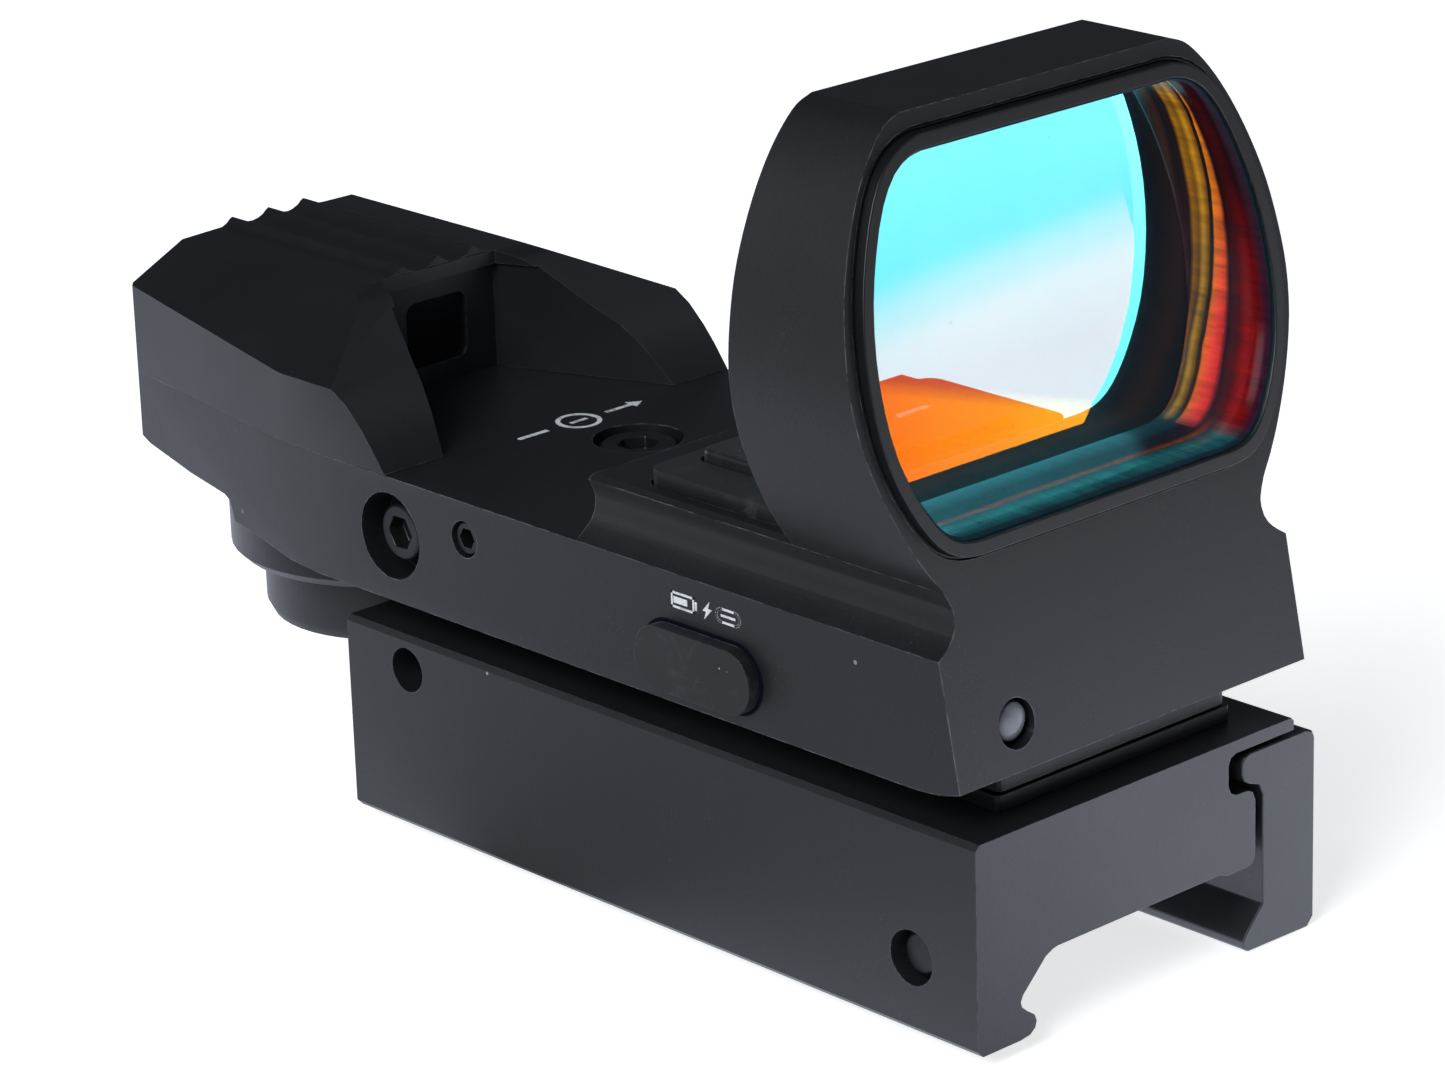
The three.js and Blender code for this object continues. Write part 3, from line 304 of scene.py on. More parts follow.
def mat_lens_edge():
    """Polished glass edge: bands of colour by depth behind the front plane, painted reflections that also glow."""
    m, t, out = new_mat("lens_edge_painted_reflections")
    g = G(t)
    x = g.xyz()
    # depth behind the leaning front plane, in mm
    depth = g.math("SUBTRACT", 27.88, g.math("ADD", g.math("MULTIPLY", x["X"], 1000.0), g.math("MULTIPLY", g.math("SUBTRACT", g.math("MULTIPLY", x["Z"], 1000.0), 10.8), 0.2)))
    wob = g.math("MULTIPLY", g.math("SUBTRACT", g.noise(150, 3.0, 0.6), 0.5), 0.55)
    d = g.math("ADD", depth, wob)
    # the bands widen and sit deeper low down
    low = g.math("MINIMUM", g.math("MAXIMUM", g.math("MULTIPLY", g.math("SUBTRACT", 0.040, x["Z"]), 1 / 0.009), -0.5), 1.15)
    ea = g.math("ADD", 2.4, g.math("MULTIPLY", low, 0.9))
    eb = g.math("ADD", 2.95, g.math("MULTIPLY", low, 1.75))
    ec = g.math("ADD", 3.25, g.math("MULTIPLY", low, 1.75))
    ed = g.math("ADD", 4.75, g.math("MULTIPLY", low, 1.6))
    def part(a, b):
        return g.math("DIVIDE", g.math("SUBTRACT", d, a), g.math("SUBTRACT", b, a), clamp=True)
    f5 = g.math("ADD", g.math("ADD", part(0.0, ea), part(ea, eb)), g.math("ADD", g.math("ADD", part(eb, ec), part(ec, ed)), part(ed, g.math("ADD", ed, 2.2))))
    f5 = g.math("MULTIPLY", f5, 0.2)
    f = g.math("DIVIDE", d, 8.0)
    upper = g.ramp(f5, [
        (0.00, (0.020, 0.008, 0.016)), (0.05, (0.014, 0.002, 0.003)), (0.12, (0.050, 0.002, 0.001)), (0.185, (0.012, 0.001, 0.001)),
        (0.21, (0.60, 0.12, 0.004)), (0.38, (0.75, 0.22, 0.01)), (0.41, (0.006, 0.002, 0.0)), (0.58, (0.012, 0.006, 0.0)),
        (0.61, (0.22, 0.07, 0.0)), (0.67, (0.62, 0.27, 0.006)), (0.72, (0.20, 0.08, 0.0)), (0.785, (0.40, 0.15, 0.002)), (0.815, (0.02, 0.006, 0.0)),
        (0.87, (0.004, 0.002, 0.002)), (0.92, (0.045, 0.012, 0.003)), (1.0, (0.004, 0.002, 0.004))])
    lower = g.ramp(f5, [
        (0.00, (0.045, 0.006, 0.022)), (0.03, (0.14, 0.002, 0.002)), (0.09, (0.30, 0.001, 0.0)), (0.13, (0.10, 0.0, 0.0)), (0.185, (0.020, 0.0, 0.002)),
        (0.215, (0.70, 0.02, 0.02)), (0.30, (0.95, 0.055, 0.03)), (0.385, (0.80, 0.13, 0.01)), (0.41, (0.03, 0.008, 0.0)), (0.58, (0.02, 0.008, 0.0)),
        (0.61, (0.10, 0.04, 0.0)), (0.68, (0.42, 0.20, 0.01)), (0.73, (0.06, 0.025, 0.0)), (0.785, (0.22, 0.06, 0.0)), (0.815, (0.01, 0.003, 0.002)),
        (0.87, (0.06, 0.003, 0.004)), (0.92, (0.006, 0.002, 0.006)), (1.0, (0.003, 0.003, 0.012))])
    side = g.mix(g.ramp(low, [(0.0, 0.0), (1.0, 1.0)]), upper, lower)
    floor = g.ramp(f, [
        (0.00, (0.003, 0.02, 0.03)), (0.05, (0.006, 0.070, 0.085)), (0.20, (0.010, 0.11, 0.12)), (0.31, (0.004, 0.035, 0.045)),
        (0.335, (0.16, 0.025, 0.005)), (0.375, (0.10, 0.015, 0.004)), (0.395, (0.002, 0.002, 0.006)), (0.54, (0.002, 0.002, 0.010)), (0.60, (0.002, 0.022, 0.035)),
        (0.8, (0.003, 0.045, 0.060)), (1.0, (0.003, 0.035, 0.045))])
    geo = g.n("ShaderNodeNewGeometry")
    sep = g.n("ShaderNodeSeparateXYZ")
    g.link(geo.outputs["True Normal"], sep.inputs[0])
    horiz = g.ramp(g.math("ABSOLUTE", sep.outputs["Y"]), [(0.18, 0.0), (0.62, 1.0)])
    streak = g.n("ShaderNodeMapping")
    streak.inputs["Scale"].default_value = (0.12, 1.0, 1.0)
    g.link(g.obj, streak.inputs[0])
    st = g.noise(1400, 3.0, 0.7, vec=streak.outputs[0])
    col = g.mix(horiz, floor, side)
    col = g.mix(g.math("MULTIPLY", g.ramp(st, [(0.3, 1.0), (0.66, 0.0)]), 0.6), col, (0.004, 0.003, 0.006))
    # painted glow: the band colours are emitted as well as reflected
    g.principled(out, **{"Base Color": g.mix(0.75, col, (0.002, 0.002, 0.003)), "Roughness": g.math("ADD", 0.12, g.math("MULTIPLY", st, 0.2)), "Specular IOR Level": 0.06,
                         "Emission Color": col, "Emission Strength": 0.85,
                         "Normal": g.bump(st, 0.2, 0.02 * MM)})
    return m
M["painted_edge_glow"] = mat_lens_edge()

def mat_dome():
    m, t, out = new_mat("frosted_light_pipe")
    g = G(t)
    x = g.xyz()
    cloud = g.noise(700, 3.0)
    col = g.mix(g.ramp(cloud, [(0.3, 0.0), (0.7, 1.0)]), (0.10, 0.105, 0.12), (0.17, 0.175, 0.19))
    g.principled(out, **{"Base Color": col, "Roughness": g.math("ADD", 0.24, g.math("MULTIPLY", g.noise(1900), 0.12)), "Specular IOR Level": 0.5,
                         "Subsurface Weight": 0.1, "Subsurface Radius": (0.001, 0.001, 0.001), "Normal": g.bump(cloud, 0.15, 0.02 * MM)})
    return m
M["dome"] = mat_dome()
def mat_sleeve():
    m, t, out = new_mat("bore_sleeve_painted_glow")
    g = G(t)
    x = g.xyz()
    n = g.noise(260, 3.0, 0.6)
    # painted light: bands of colour along the bore, emitted so that they glow
    along = g.math("MULTIPLY", g.math("SUBTRACT", g.math("ADD", x["X"], g.math("MULTIPLY", n, 0.0012)), 0.0130), 1 / 0.0045)
    col = g.ramp(along, [(0.0, (0.004, 0.005, 0.012)), (0.3, (0.003, 0.003, 0.006)), (0.5, (0.010, 0.003, 0.002)), (0.8, (0.022, 0.005, 0.003)), (1.0, (0.004, 0.002, 0.002))])
    g.principled(out, **{"Base Color": g.mix(0.85, col, (0.0006, 0.0006, 0.0008)), "Roughness": g.math("ADD", 0.45, g.math("MULTIPLY", n, 0.2)), "Specular IOR Level": 0.02,
                         "Emission Color": col, "Emission Strength": 0.55,
                         "Normal": g.bump(g.noise(5200, 2.0), 0.3, 0.012 * MM)})
    return m
M["sleeve"] = mat_sleeve()

NODE_MAT = {
    "main_housing": "body", "mount_base": "mount", "clamp_jaw": "mount", "swivel_pad_lower": "pad", "swivel_plate": "pad",
    "reticle_knob": "body", "floor_plate": "pad", "emitter_cover": "cover", "lens_bezel": "bezel", "emitter_post": "cover",
    "reticle_drum": "cover", "usb_socket_tongue": "cover", "keypad_frame": "rubber", "key_near": "keyrubber",
    "key_far": "keyrubber", "port_plug": "rubber", "lens_seal_ring": "rubber", "lens_front_glass": "glass",
    "lens_rear_glass": "glass", "emitter_window": "emitterglass", "reticle_film": "emitterglass", "circuit_board": "board",
    "battery_cell": "foil", "charge_light_lens": "dome", "emitter_diode": "red", "windage_pusher": "brass", "elevation_foot": "brass",
    "clamp_screw_front": "blacksteel", "clamp_screw_rear": "blacksteel", "cover_screw_1": "blacksteel", "cover_screw_2": "blacksteel",
    "elevation_lock_screw": "blacksteel", "elevation_screw": "blacksteel", "windage_screw": "blacksteel",
}
BEVEL = {  # edge rounding, mm
    "main_housing": 0.16, "mount_base": 0.2, "clamp_jaw": 0.2, "emitter_cover": 0.16, "lens_bezel": 0.14, "reticle_knob": 0.2,
    "swivel_pad_lower": 0.1, "swivel_plate": 0.08, "keypad_frame": 0.16, "key_near": 0.28, "key_far": 0.28, "port_plug": 0.3,
    "clamp_screw_front": 0.12, "clamp_screw_rear": 0.12, "windage_screw": 0.1, "elevation_screw": 0.1, "floor_plate": 0.1,
}

def smooth_group():
    """Smooth faces with edges over 30 degrees kept sharp."""
    ng = bpy.data.node_groups.new("smooth_by_edge", "GeometryNodeTree")
    ng.interface.new_socket("Geometry", in_out="INPUT", socket_type="NodeSocketGeometry")
    ng.interface.new_socket("Geometry", in_out="OUTPUT", socket_type="NodeSocketGeometry")
    a = ng.nodes.new("NodeGroupInput"); b = ng.nodes.new("NodeGroupOutput")
    s1 = ng.nodes.new("GeometryNodeSetShadeSmooth"); s1.domain = "FACE"; s1.inputs["Shade Smooth"].default_value = True
    s2 = ng.nodes.new("GeometryNodeSetShadeSmooth"); s2.domain = "EDGE"; s2.inputs["Shade Smooth"].default_value = False
    ea = ng.nodes.new("GeometryNodeInputMeshEdgeAngle")
    cmp = ng.nodes.new("FunctionNodeCompare"); cmp.operation = "GREATER_THAN"; cmp.data_type = "FLOAT"
    cmp.inputs[1].default_value = math.radians(30)
    ng.links.new(a.outputs[0], s1.inputs["Geometry"]); ng.links.new(s1.outputs[0], s2.inputs["Geometry"])
    ng.links.new(ea.outputs[0], cmp.inputs[0]); ng.links.new(cmp.outputs[0], s2.inputs["Selection"])
    ng.links.new(s2.outputs[0], b.inputs[0])
    return ng
SMOOTH = smooth_group()

def dress(name, obj):
    obj.data.materials.clear()
    obj.data.materials.append(M[NODE_MAT.get(name, "steel")])
    for p in obj.data.polygons:
        p.material_index = 0
    for att in ("custom_normal",):
        if att in obj.data.attributes:
            obj.data.attributes.remove(obj.data.attributes[att])
    w = obj.modifiers.new("weld", "WELD"); w.merge_threshold = 2e-6
    d = obj.modifiers.new("flats", "DECIMATE"); d.decimate_type = "DISSOLVE"; d.angle_limit = math.radians(0.6)
    if name in BEVEL:
        b = obj.modifiers.new("edges", "BEVEL"); b.width = BEVEL[name] * MM; b.segments = 3; b.limit_method = "ANGLE"
        b.angle_limit = math.radians(28); b.use_clamp_overlap = True; b.harden_normals = False; b.miter_outer = "MITER_ARC" if False else "MITER_SHARP"
        b.loop_slide = True
    s = obj.modifiers.new("smooth", "NODES"); s.node_group = SMOOTH
    if name in BEVEL:
        wn = obj.modifiers.new("normals", "WEIGHTED_NORMAL"); wn.keep_sharp = True; wn.weight = 90

for name, obj in nodes.items():
    dress(name, obj)

# ---------------------------------------------------------------- mesh helpers
def mesh_obj(name, bm, mat, body, smooth=True):
    bmesh.ops.recalc_face_normals(bm, faces=bm.faces)
    me = bpy.data.meshes.new(name)
    bm.to_mesh(me); bm.free()
    if smooth:
        me.shade_smooth()
    o = bpy.data.objects.new(name, me)
    scene.collection.objects.link(o)
    me.materials.append(M[mat])
    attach(o, body)
    return o

def loops_solid(rings, close=False, caps=True):
    """Skins a list of equal rings of points (mm); caps the ends, or closes the run on itself."""
    bm = bmesh.new()
    vs = [[bm.verts.new(Vector(p) * MM) for p in r] for r in rings]
    n = len(vs[0]); k = len(vs)
    for i in range(k if close else k - 1):
        a, b = vs[i], vs[(i + 1) % k]
        for j in range(n):
            bm.faces.new((a[j], a[(j + 1) % n], b[(j + 1) % n], b[j]))
    if caps and not close:
        bm.faces.new(vs[0][::-1]); bm.faces.new(vs[-1])
    return bm

def add_prism(bm, pts, to3d, t0, t1):
    lo = [bm.verts.new(Vector(to3d(u, v, t0)) * MM) for u, v in pts]
    hi = [bm.verts.new(Vector(to3d(u, v, t1)) * MM) for u, v in pts]
    n = len(pts)
    bm.faces.new(lo[::-1]); bm.faces.new(hi)
    for i in range(n):
        bm.faces.new((lo[i], lo[(i + 1) % n], hi[(i + 1) % n], hi[i]))

def arc(cu, cv, r, a0, a1, n):
    return [(cu + r * math.cos(math.radians(a0 + (a1 - a0) * i / n)), cv + r * math.sin(math.radians(a0 + (a1 - a0) * i / n))) for i in range(n + 1)]

# ---------------------------------------------------------------- printed marks
def deck(u, v, t):
    return (u, v, 19.2 + 0.004 + t * 0.016)
bm = bmesh.new()
X0 = -22.6
# arrow along the deck: tail stroke, ring, head stroke
add_prism(bm, [(X0 - 0.2, -4.4), (X0 + 0.2, -4.4), (X0 + 0.2, -1.9), (X0 - 0.2, -1.9)], deck, 0, 1)
ring_o = arc(X0, 0.8, 1.55, 0, 360, 36)[:-1]
ring_i = arc(X0, 0.8, 1.22, 0, 360, 36)[:-1]
for i in range(36):
    j = (i + 1) % 36
    add_prism(bm, [ring_o[i], ring_o[j], ring_i[j], ring_i[i]], deck, 0, 1)
add_prism(bm, [(X0 - 0.16, 0.1), (X0 + 0.16, 0.1), (X0 + 0.16, 1.5), (X0 - 0.16, 1.5)], deck, 0, 1)
add_prism(bm, [(X0 - 0.18, 3.2), (X0 + 0.18, 3.2), (X0 + 0.18, 5.4), (X0 + 0.62, 5.4), (X0, 6.4), (X0 - 0.62, 5.4), (X0 - 0.18, 5.4)], deck, 0, 1)
mesh_obj("deck_direction_mark", bm, "paint", "sight", smooth=False)

def flank(u, v, t):
    return (u, -15.0 - 0.004 - t * 0.016, v)
bm = bmesh.new()
def stroke(pts, w):
    for (a, b) in zip(pts[:-1], pts[1:]):
        dx, dz = b[0] - a[0], b[1] - a[1]
        l = math.hypot(dx, dz)
        nx, nz = -dz / l * w / 2, dx / l * w / 2
        ex, ez = dx / l * w / 2, dz / l * w / 2
        add_prism(bm, [(a[0] - ex + nx, a[1] - ez + nz), (a[0] - ex - nx, a[1] - ez - nz), (b[0] + ex - nx, b[1] + ez - nz), (b[0] + ex + nx, b[1] + ez + nz)], flank, 0, 1)
# battery outline, charge bolt, socket outline
stroke([(3.6, 17.1), (3.6, 18.0), (5.5, 18.0), (5.5, 17.1), (3.6, 17.1)], 0.15)
stroke([(5.72, 17.38), (5.72, 17.72)], 0.2)
stroke([(3.95, 17.55), (4.75, 17.55)], 0.42)
add_prism(bm, [(6.95, 18.15), (6.3, 17.45), (6.62, 17.45), (6.42, 16.9), (7.15, 17.66), (6.8, 17.66)], flank, 0, 1)
st = arc(7.95, 17.55, 0.42, 90, 270, 8) + arc(9.15, 17.55, 0.42, -90, 90, 8)
stroke(st + [st[0]], 0.15)
stroke([(8.0, 17.55), (9.1, 17.55)], 0.16)
mesh_obj("charge_socket_icon", bm, "paint", "sight", smooth=False)

# painted shadow: dark ring round the plug, where its shade falls
def stadium(grow):
    r = 2.09 + grow
    return arc(1.0 + 2.09, 13.81, r, 90, 270, 14) + arc(11.2 - 2.09, 13.81, r, -90, 90, 14)
bm = loops_solid([[(x, -15.0 - dy, z) for x, z in stadium(gr)] for dy, gr in ((0.002, 0.02), (0.03, 0.02), (0.03, 0.2), (0.002, 0.26))], close=True)
mesh_obj("plug_painted_shadow_ring", bm, "sleeve", "sight")

# raised plus and minus on the keys
for nm, y, plus in (("near", -4.75, True), ("far", 4.75, False)):
    bm = bmesh.new()
    def keytop(u, v, t):
        return (u, v, 24.75 + 0.003 + t * 0.1)
    add_prism(bm, [(4.35, y - 1.3), (4.85, y - 1.3), (4.85, y + 1.3), (4.35, y + 1.3)], keytop, 0, 1)
    if plus:
        add_prism(bm, [(3.3, y - 0.25), (4.33, y - 0.25), (4.33, y + 0.25), (3.3, y + 0.25)], keytop, 0, 1)
        add_prism(bm, [(4.87, y - 0.25), (5.9, y - 0.25), (5.9, y + 0.25), (4.87, y + 0.25)], keytop, 0, 1)
    mesh_obj("key_symbol_" + nm, bm, "paint", "brightness_key_" + nm, smooth=False)

# ---------------------------------------------------------------- lens coating and polished edge
WIN = [(10.4, 47.7), (11.6, 47.45), (12.9, 46.7), (14.1, 45.2), (15.2, 42.8), (16.05, 40.0), (16.5, 37.0), (16.5, 34.0),
       (16.05, 31.2), (15.1, 28.8), (14.0, 27.0), (13.0, 26.0), (11.9, 25.5), (10.6, 25.35)]
def catmull(pts, per):
    out = []
    for i in range(len(pts) - 1):
        p0 = pts[max(i - 1, 0)]; p1 = pts[i]; p2 = pts[i + 1]; p3 = pts[min(i + 2, len(pts) - 1)]
        for k in range(per):
            t = k / per
            out.append(tuple(0.5 * (2 * p1[a] + (p2[a] - p0[a]) * t + (2 * p0[a] - 5 * p1[a] + 4 * p2[a] - p3[a]) * t * t
                                    + (3 * p1[a] - p0[a] - 3 * p2[a] + p3[a]) * t ** 3) for a in (0, 1)))
    out.append(pts[-1])
    return out
half = catmull(WIN, 4)
loop = [(y, z) for y, z in half] + [(-y, z) for y, z in half[::-1]]
CY, CZ = 0.0, 36.5
def inset(d):
    """The window's outline moved inwards by d mm."""
    out = []
    n = len(loop)
    for i in range(n):
        a, b, c = loop[i - 1], loop[i], loop[(i + 1) % n]
        tx, tz = c[0] - a[0], c[1] - a[1]
        l = math.hypot(tx, tz)
        nx, nz = tz / l, -tx / l
        if nx * (b[0] - CY) + nz * (b[1] - CZ) > 0:
            nx, nz = -nx, -nz
        out.append((b[0] + nx * d, b[1] + nz * d))
    return out
def front_x(z):
    return 27.88 - 0.2 * (z - 10.8)
def ring_at(depth, d):
    return [(front_x(z) - depth, y, z) for y, z in inset(d)]
# liner: closed tube along the polished edge, carrying the painted, glowing reflections
bm = loops_solid([ring_at(dd, 0.2) for dd in (-0.3, 1.5, 3.0, 4.6, 6.2)] + [ring_at(6.5, 0.1), ring_at(6.5, 0.03), ring_at(3.0, 0.03), ring_at(-0.3, 0.03)], close=True)
mesh_obj("lens_edge_band", bm, "painted_edge_glow", "sight")
# dark sleeve in the bore behind the lens, glowing with painted colour bands
def ring_x(x, d):
    return [(x, y, z) for y, z in inset(d)]
bm = loops_solid([ring_at(6.5, -0.02), ring_at(6.9, -0.12), ring_x(13.8, -0.2), ring_x(13.3, -0.2), ring_x(13.3, -0.3), ring_x(13.8, -0.3), ring_at(6.9, -0.3), ring_at(6.5, -0.3)], close=True)
mesh_obj("bore_sleeve", bm, "sleeve", "sight")
# bead of adhesive in the gap round the bezel
bm = loops_solid([ring_at(1.2, -0.88), ring_at(0.16, -0.88), ring_at(0.1, -1.0), ring_at(0.16, -1.12), ring_at(1.2, -1.12)], close=True)
mesh_obj("bezel_bead", bm, "rubber", "sight")
# coating: thin leaf behind the doublet; the cyan leaf behind it fills the whole window
bm = loops_solid([ring_x(13.22, -0.26), ring_x(13.12, -0.26)])
mesh_obj("lens_tint_layer", bm, "tint", "sight", smooth=False)
LIM = [(26.8, 5.4), (27.2, 6.0), (27.7, 6.3), (28.1, 6.9), (29.1, 8.1), (30.7, 9.5), (32.9, 10.9), (35.5, 11.9), (38.3, 12.5), (41.1, 12.7), (43.7, 12.4), (46.0, 11.8), (48.0, 10.5)]
def lim(z):
    for (z0, y0), (z1, y1) in zip(LIM[:-1], LIM[1:]):
        if z <= z1:
            return y0 + (y1 - y0) * max(0.0, (z - z0)) / (z1 - z0)
    return LIM[-1][1]
pts = []
for y, z in inset(0.3):
    z = max(z, 27.43)
    pts.append((min(y, lim(z - 0.56) - 1.31), z))
bm = loops_solid([[(front_x(z) - dd, y, z) for y, z in pts] for dd in (5.04, 5.0)])
film = mesh_obj("lens_coating", bm, "film", "sight", smooth=False)
film.data.materials.append(M["glass"])
for p in film.data.polygons:
    p.material_index = 0 if p.normal.x > 0.9 else 1

# ---------------------------------------------------------------- stage, light, camera
def stage_mesh(name, verts, faces, mat):
    me = bpy.data.meshes.new(name)
    me.from_pydata(verts, [], faces)
    o = bpy.data.objects.new(name, me)
    scene.collection.objects.link(o)
    me.materials.append(mat)
    return o

m, t, out = new_mat("pale_floor")
g = G(t)
lp = g.n("ShaderNodeLightPath")
cam_ray, thru = lp.outputs["Is Camera Ray"], lp.outputs["Is Transmission Ray"]
x = g.xyz()
# painted light on the floor, seen only in reflections and bounce light: the table's glow, strong close in, dimmer right
# beside the near side as a painted shadow, brightest before the rail clamp, with a second patch off to the rear
ang = g.math("ARCTAN2", g.math("ADD", x["Y"], 0.012), g.math("ADD", x["X"], 0.012))
turn = g.math("ADD", g.math("DIVIDE", ang, 2 * math.pi), 0.5)
dx = g.math("SUBTRACT", g.math("ABSOLUTE", g.math("ADD", x["X"], 0.012)), 0.040)
dy = g.math("SUBTRACT", g.math("ABSOLUTE", x["Y"]), 0.015)
far = g.math("MAXIMUM", dx, dy)
near_front = g.ramp(far, [(0.0, 0.9), (0.03, 1.0), (0.06, 0.72), (0.1, 0.36), (0.2, 0.13), (0.7, 0.1)])
near_side = g.ramp(far, [(0.0, 0.48), (0.03, 0.85), (0.055, 1.0), (0.085, 0.66), (0.14, 0.34), (0.3, 0.2), (0.7, 0.14)])
front = g.ramp(turn, [(0.0, 0.0), (0.36, 0.0), (0.5, 0.5), (0.58, 1.0), (0.66, 1.0), (0.76, 0.0), (1.0, 0.0)])
around = g.math("ADD", g.math("MULTIPLY", g.math("MULTIPLY", front, 2.05), near_front), g.math("MULTIPLY", 0.56, near_side))
rear = g.math("MULTIPLY", 0.72, g.math("MULTIPLY", g.ramp(turn, [(0.0, 1.0), (0.062, 1.0), (0.1, 0.0), (0.9, 0.0), (0.97, 1.0)]), g.ramp(far, [(0.0, 1.0), (0.2, 0.9), (0.5, 0.2)])))
around = g.math("ADD", around, rear)
col = g.mix(cam_ray, g.mix(g.noise(9, 3.0), 0.22, 0.26), g.mix(g.noise(9, 3.0), (0.86, 0.865, 0.87), (0.9, 0.9, 0.905)))
em = g.math("ADD", g.math("MULTIPLY", cam_ray, 0.72), g.math("MULTIPLY", thru, 1.72))
em = g.math("ADD", em, g.math("MULTIPLY", around, g.math("SUBTRACT", 1.0, g.math("MAXIMUM", cam_ray, thru))))
p = g.principled(out, **{"Base Color": col, "Roughness": 0.85, "Specular IOR Level": 0.1, "Emission Color": g.mix(g.math("MAXIMUM", cam_ray, thru), (0.88, 0.94, 1.08), (1.0, 1.0, 1.0)), "Emission Strength": em})
FLOOR_Z = -6.02 * MM
stage_mesh("floor", [(-3, -3, FLOOR_Z), (3, -3, FLOOR_Z), (3, 3, FLOOR_Z), (-3, 3, FLOOR_Z)], [(0, 1, 2, 3)], m)

w = bpy.data.worlds.new("studio")
scene.world = w
w.use_nodes = True
wt = w.node_tree
wt.nodes.clear()
wo = wt.nodes.new("ShaderNodeOutputWorld")
lp = wt.nodes.new("ShaderNodeLightPath")
bg1 = wt.nodes.new("ShaderNodeBackground"); bg1.inputs[0].default_value = (0.5, 0.55, 0.65, 1); bg1.inputs[1].default_value = 0.13
bg2 = wt.nodes.new("ShaderNodeBackground"); bg2.inputs[0].default_value = (1, 1, 1, 1); bg2.inputs[1].default_value = 1.6
mx = wt.nodes.new("ShaderNodeMixShader")
ad = wt.nodes.new("ShaderNodeMath"); ad.operation = "MAXIMUM"
wt.links.new(lp.outputs["Is Camera Ray"], ad.inputs[0]); wt.links.new(lp.outputs["Is Transmission Ray"], ad.inputs[1])
wt.links.new(ad.outputs[0], mx.inputs[0]); wt.links.new(bg1.outputs[0], mx.inputs[1]); wt.links.new(bg2.outputs[0], mx.inputs[2])
wt.links.new(mx.outputs[0], wo.inputs[0])

def area(name, loc, target, size, power, color=(1, 1, 1), size_y=None, spread=180):
    l = bpy.data.lights.new(name, "AREA")
    l.energy = power; l.color = color; l.shape = "RECTANGLE"; l.size = size; l.size_y = size_y or size
    l.spread = math.radians(spread)
    o = bpy.data.objects.new(name, l)
    scene.collection.objects.link(o)
    o.location = loc
    o.rotation_euler = (Vector(target) - Vector(loc)).to_track_quat("-Z", "Y").to_euler()
    return o
C = Vector((-0.01, 0, 0.02))
area("left_box", (-0.75, -0.22, 0.10), C, 0.3, 1.3, (0.88, 0.93, 1.0), 0.35)
area("key_top", (0.16, -0.62, 0.5), C, 0.42, 5.2, (0.92, 0.95, 1.0))
area("back_top", (0.1, 0.55, 0.65), C, 0.45, 0.3, (0.9, 0.94, 1.0))

# card whose mirror image lies across the lower part of the lens
m, t, out = new_mat("soft_card")
t.nodes.clear()
out = t.nodes.new("ShaderNodeOutputMaterial")
g = G(t)
em = g.n("ShaderNodeEmission")
uvx = g.xyz()
fade = g.ramp(g.math("MULTIPLY", g.math("ADD", uvx["Y"], g.math("MULTIPLY", g.math("SUBTRACT", g.noise(14, 1.0), 0.5), 0.006)), 1 / 0.04), [(0.0, 1.0), (0.36, 1.0), (0.5, 0.55), (0.66, 0.0)], "EASE")
em.inputs[0].default_value = (1.0, 0.97, 0.94, 1.0)
g.link(g.math("MULTIPLY", fade, 3.2), em.inputs[1])
g.link(em.outputs[0], out.inputs[0])
card_me = bpy.data.meshes.new("soft_card")
card_me.from_pydata([(-0.07, -0.05, 0), (0.07, -0.05, 0), (0.07, 0.04, 0), (-0.07, 0.04, 0)], [], [(0, 1, 2, 3)])
card = bpy.data.objects.new("soft_card", card_me)
scene.collection.objects.link(card)
card_me.materials.append(m)
card.visible_camera = False
card.visible_transmission = False
card.visible_diffuse = False
card.visible_shadow = False

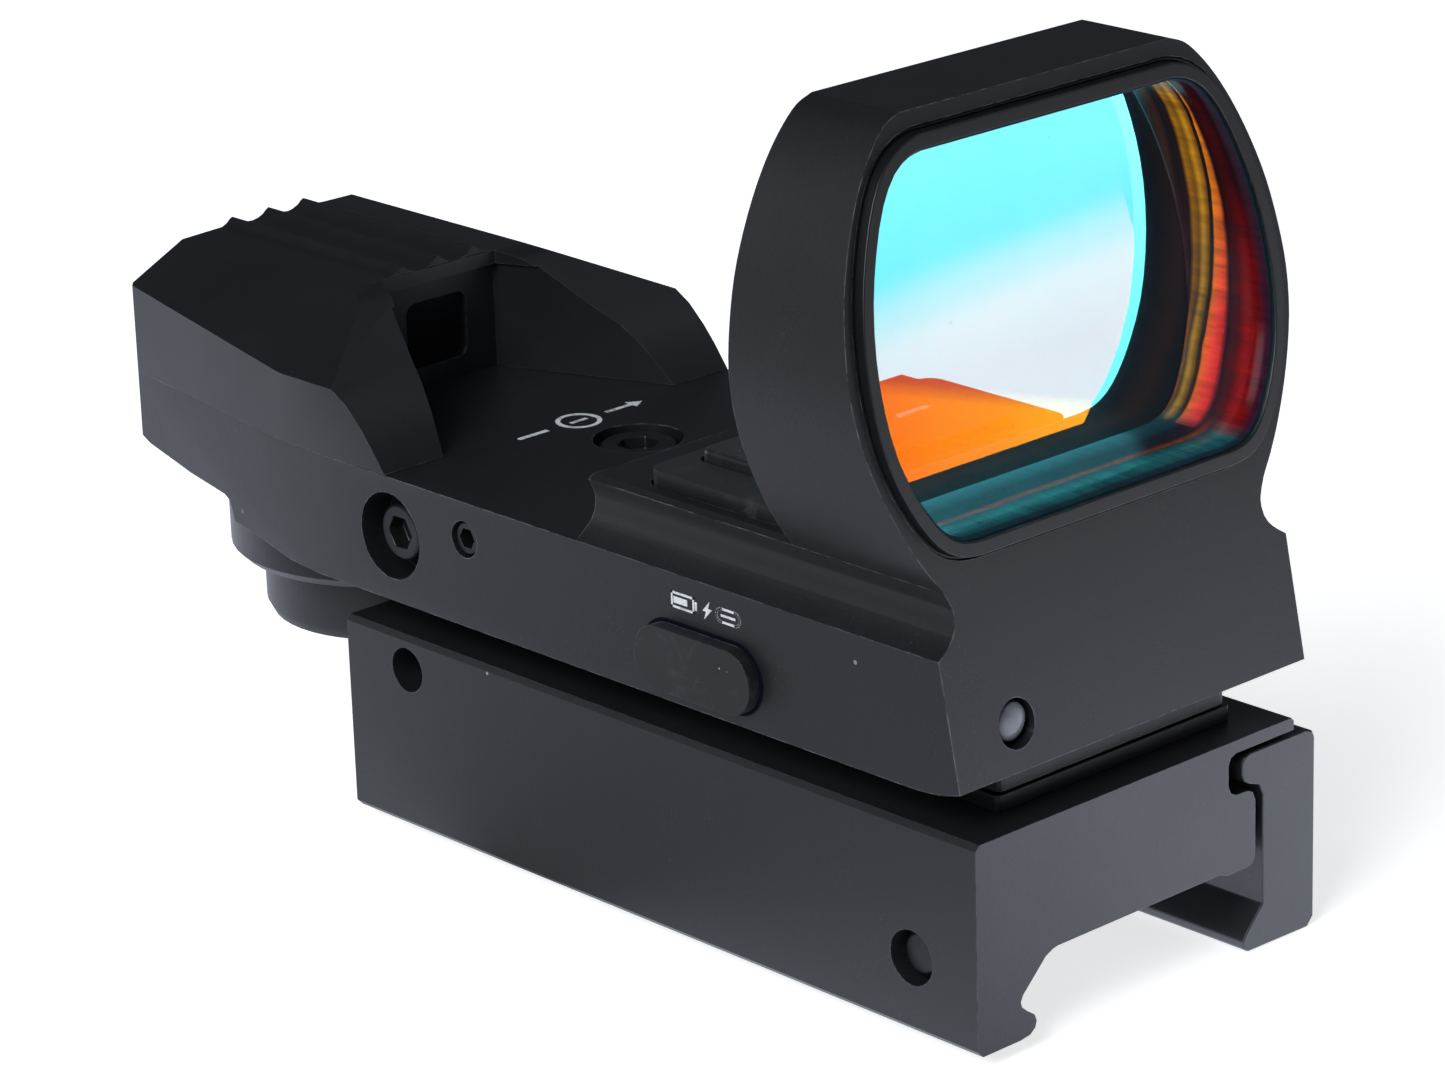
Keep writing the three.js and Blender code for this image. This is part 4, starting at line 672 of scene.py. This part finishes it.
cam = bpy.data.cameras.new("camera")
cam.lens = 128.6; cam.sensor_width = 36.0; cam.sensor_fit = "HORIZONTAL"
cam.clip_start = 0.01; cam.clip_end = 20
co = bpy.data.objects.new("camera", cam)
scene.collection.objects.link(co)
yaw, pit, roll = (math.radians(a) for a in (137.55, -19.45, -1.83))
dv = Vector((math.cos(pit) * math.cos(yaw), math.cos(pit) * math.sin(yaw), math.sin(pit)))
rv = dv.cross(Vector((0, 0, 1))).normalized()
uv = rv.cross(dv)
X = rv * math.cos(roll) + uv * math.sin(roll)
Y = -rv * math.sin(roll) + uv * math.cos(roll)
mw = Matrix(((X.x, Y.x, -dv.x, 0), (X.y, Y.y, -dv.y, 0), (X.z, Y.z, -dv.z, 0), (0, 0, 0, 1)))
mw.translation = Vector((0.22124, -0.20982, 0.12419))
co.matrix_world = mw
scene.camera = co

# place the card from the mirror directions at two points on the lens
def ray(px, py):
    f = 128.6 / 36.0 * 1445
    return (X * ((px - 722.5) / f) - Y * ((py - 542.0) / f) + dv).normalized()
N = Vector((1, 0, 0.2)).normalized()
FP = Vector((27.88 - 6.22, 0, 10.8)) * MM
def mirror(px, py):
    o = mw.translation; d = ray(px, py)
    tt = (FP - o).dot(N) / d.dot(N)
    hit = o + d * tt
    r = d - 2 * d.dot(N) * N
    return hit, r
pa, ra = mirror(865, 325)
pb, rb = mirror(1140, 215)
pc, rc = mirror(1000, 330)
DIST = 0.55
cn = rc.normalized()
def on_card(p, r):
    q0 = pc + cn * DIST
    return p + r * ((q0 - p).dot(cn) / r.dot(cn))
A, B, Cc = on_card(pa, ra), on_card(pb, rb), on_card(pc, rc)
ex = (B - A).normalized()
ey = cn.cross(ex).normalized()
# the object lies on the side of the edge that the lower lens looks at
_, rl = mirror(1000, 420)
pl, rl = mirror(1000, 420)
L = on_card(pl, rl)
if (L - A).dot(ey) > 0:
    ey = -ey
    ex = -ex
ez = ex.cross(ey)
mid = (A + B) / 2
centre = mid - ey * 0.02
card.matrix_world = Matrix(((ex.x, ey.x, ez.x, centre.x), (ex.y, ey.y, ez.y, centre.y), (ex.z, ey.z, ez.z, centre.z), (0, 0, 0, 1)))
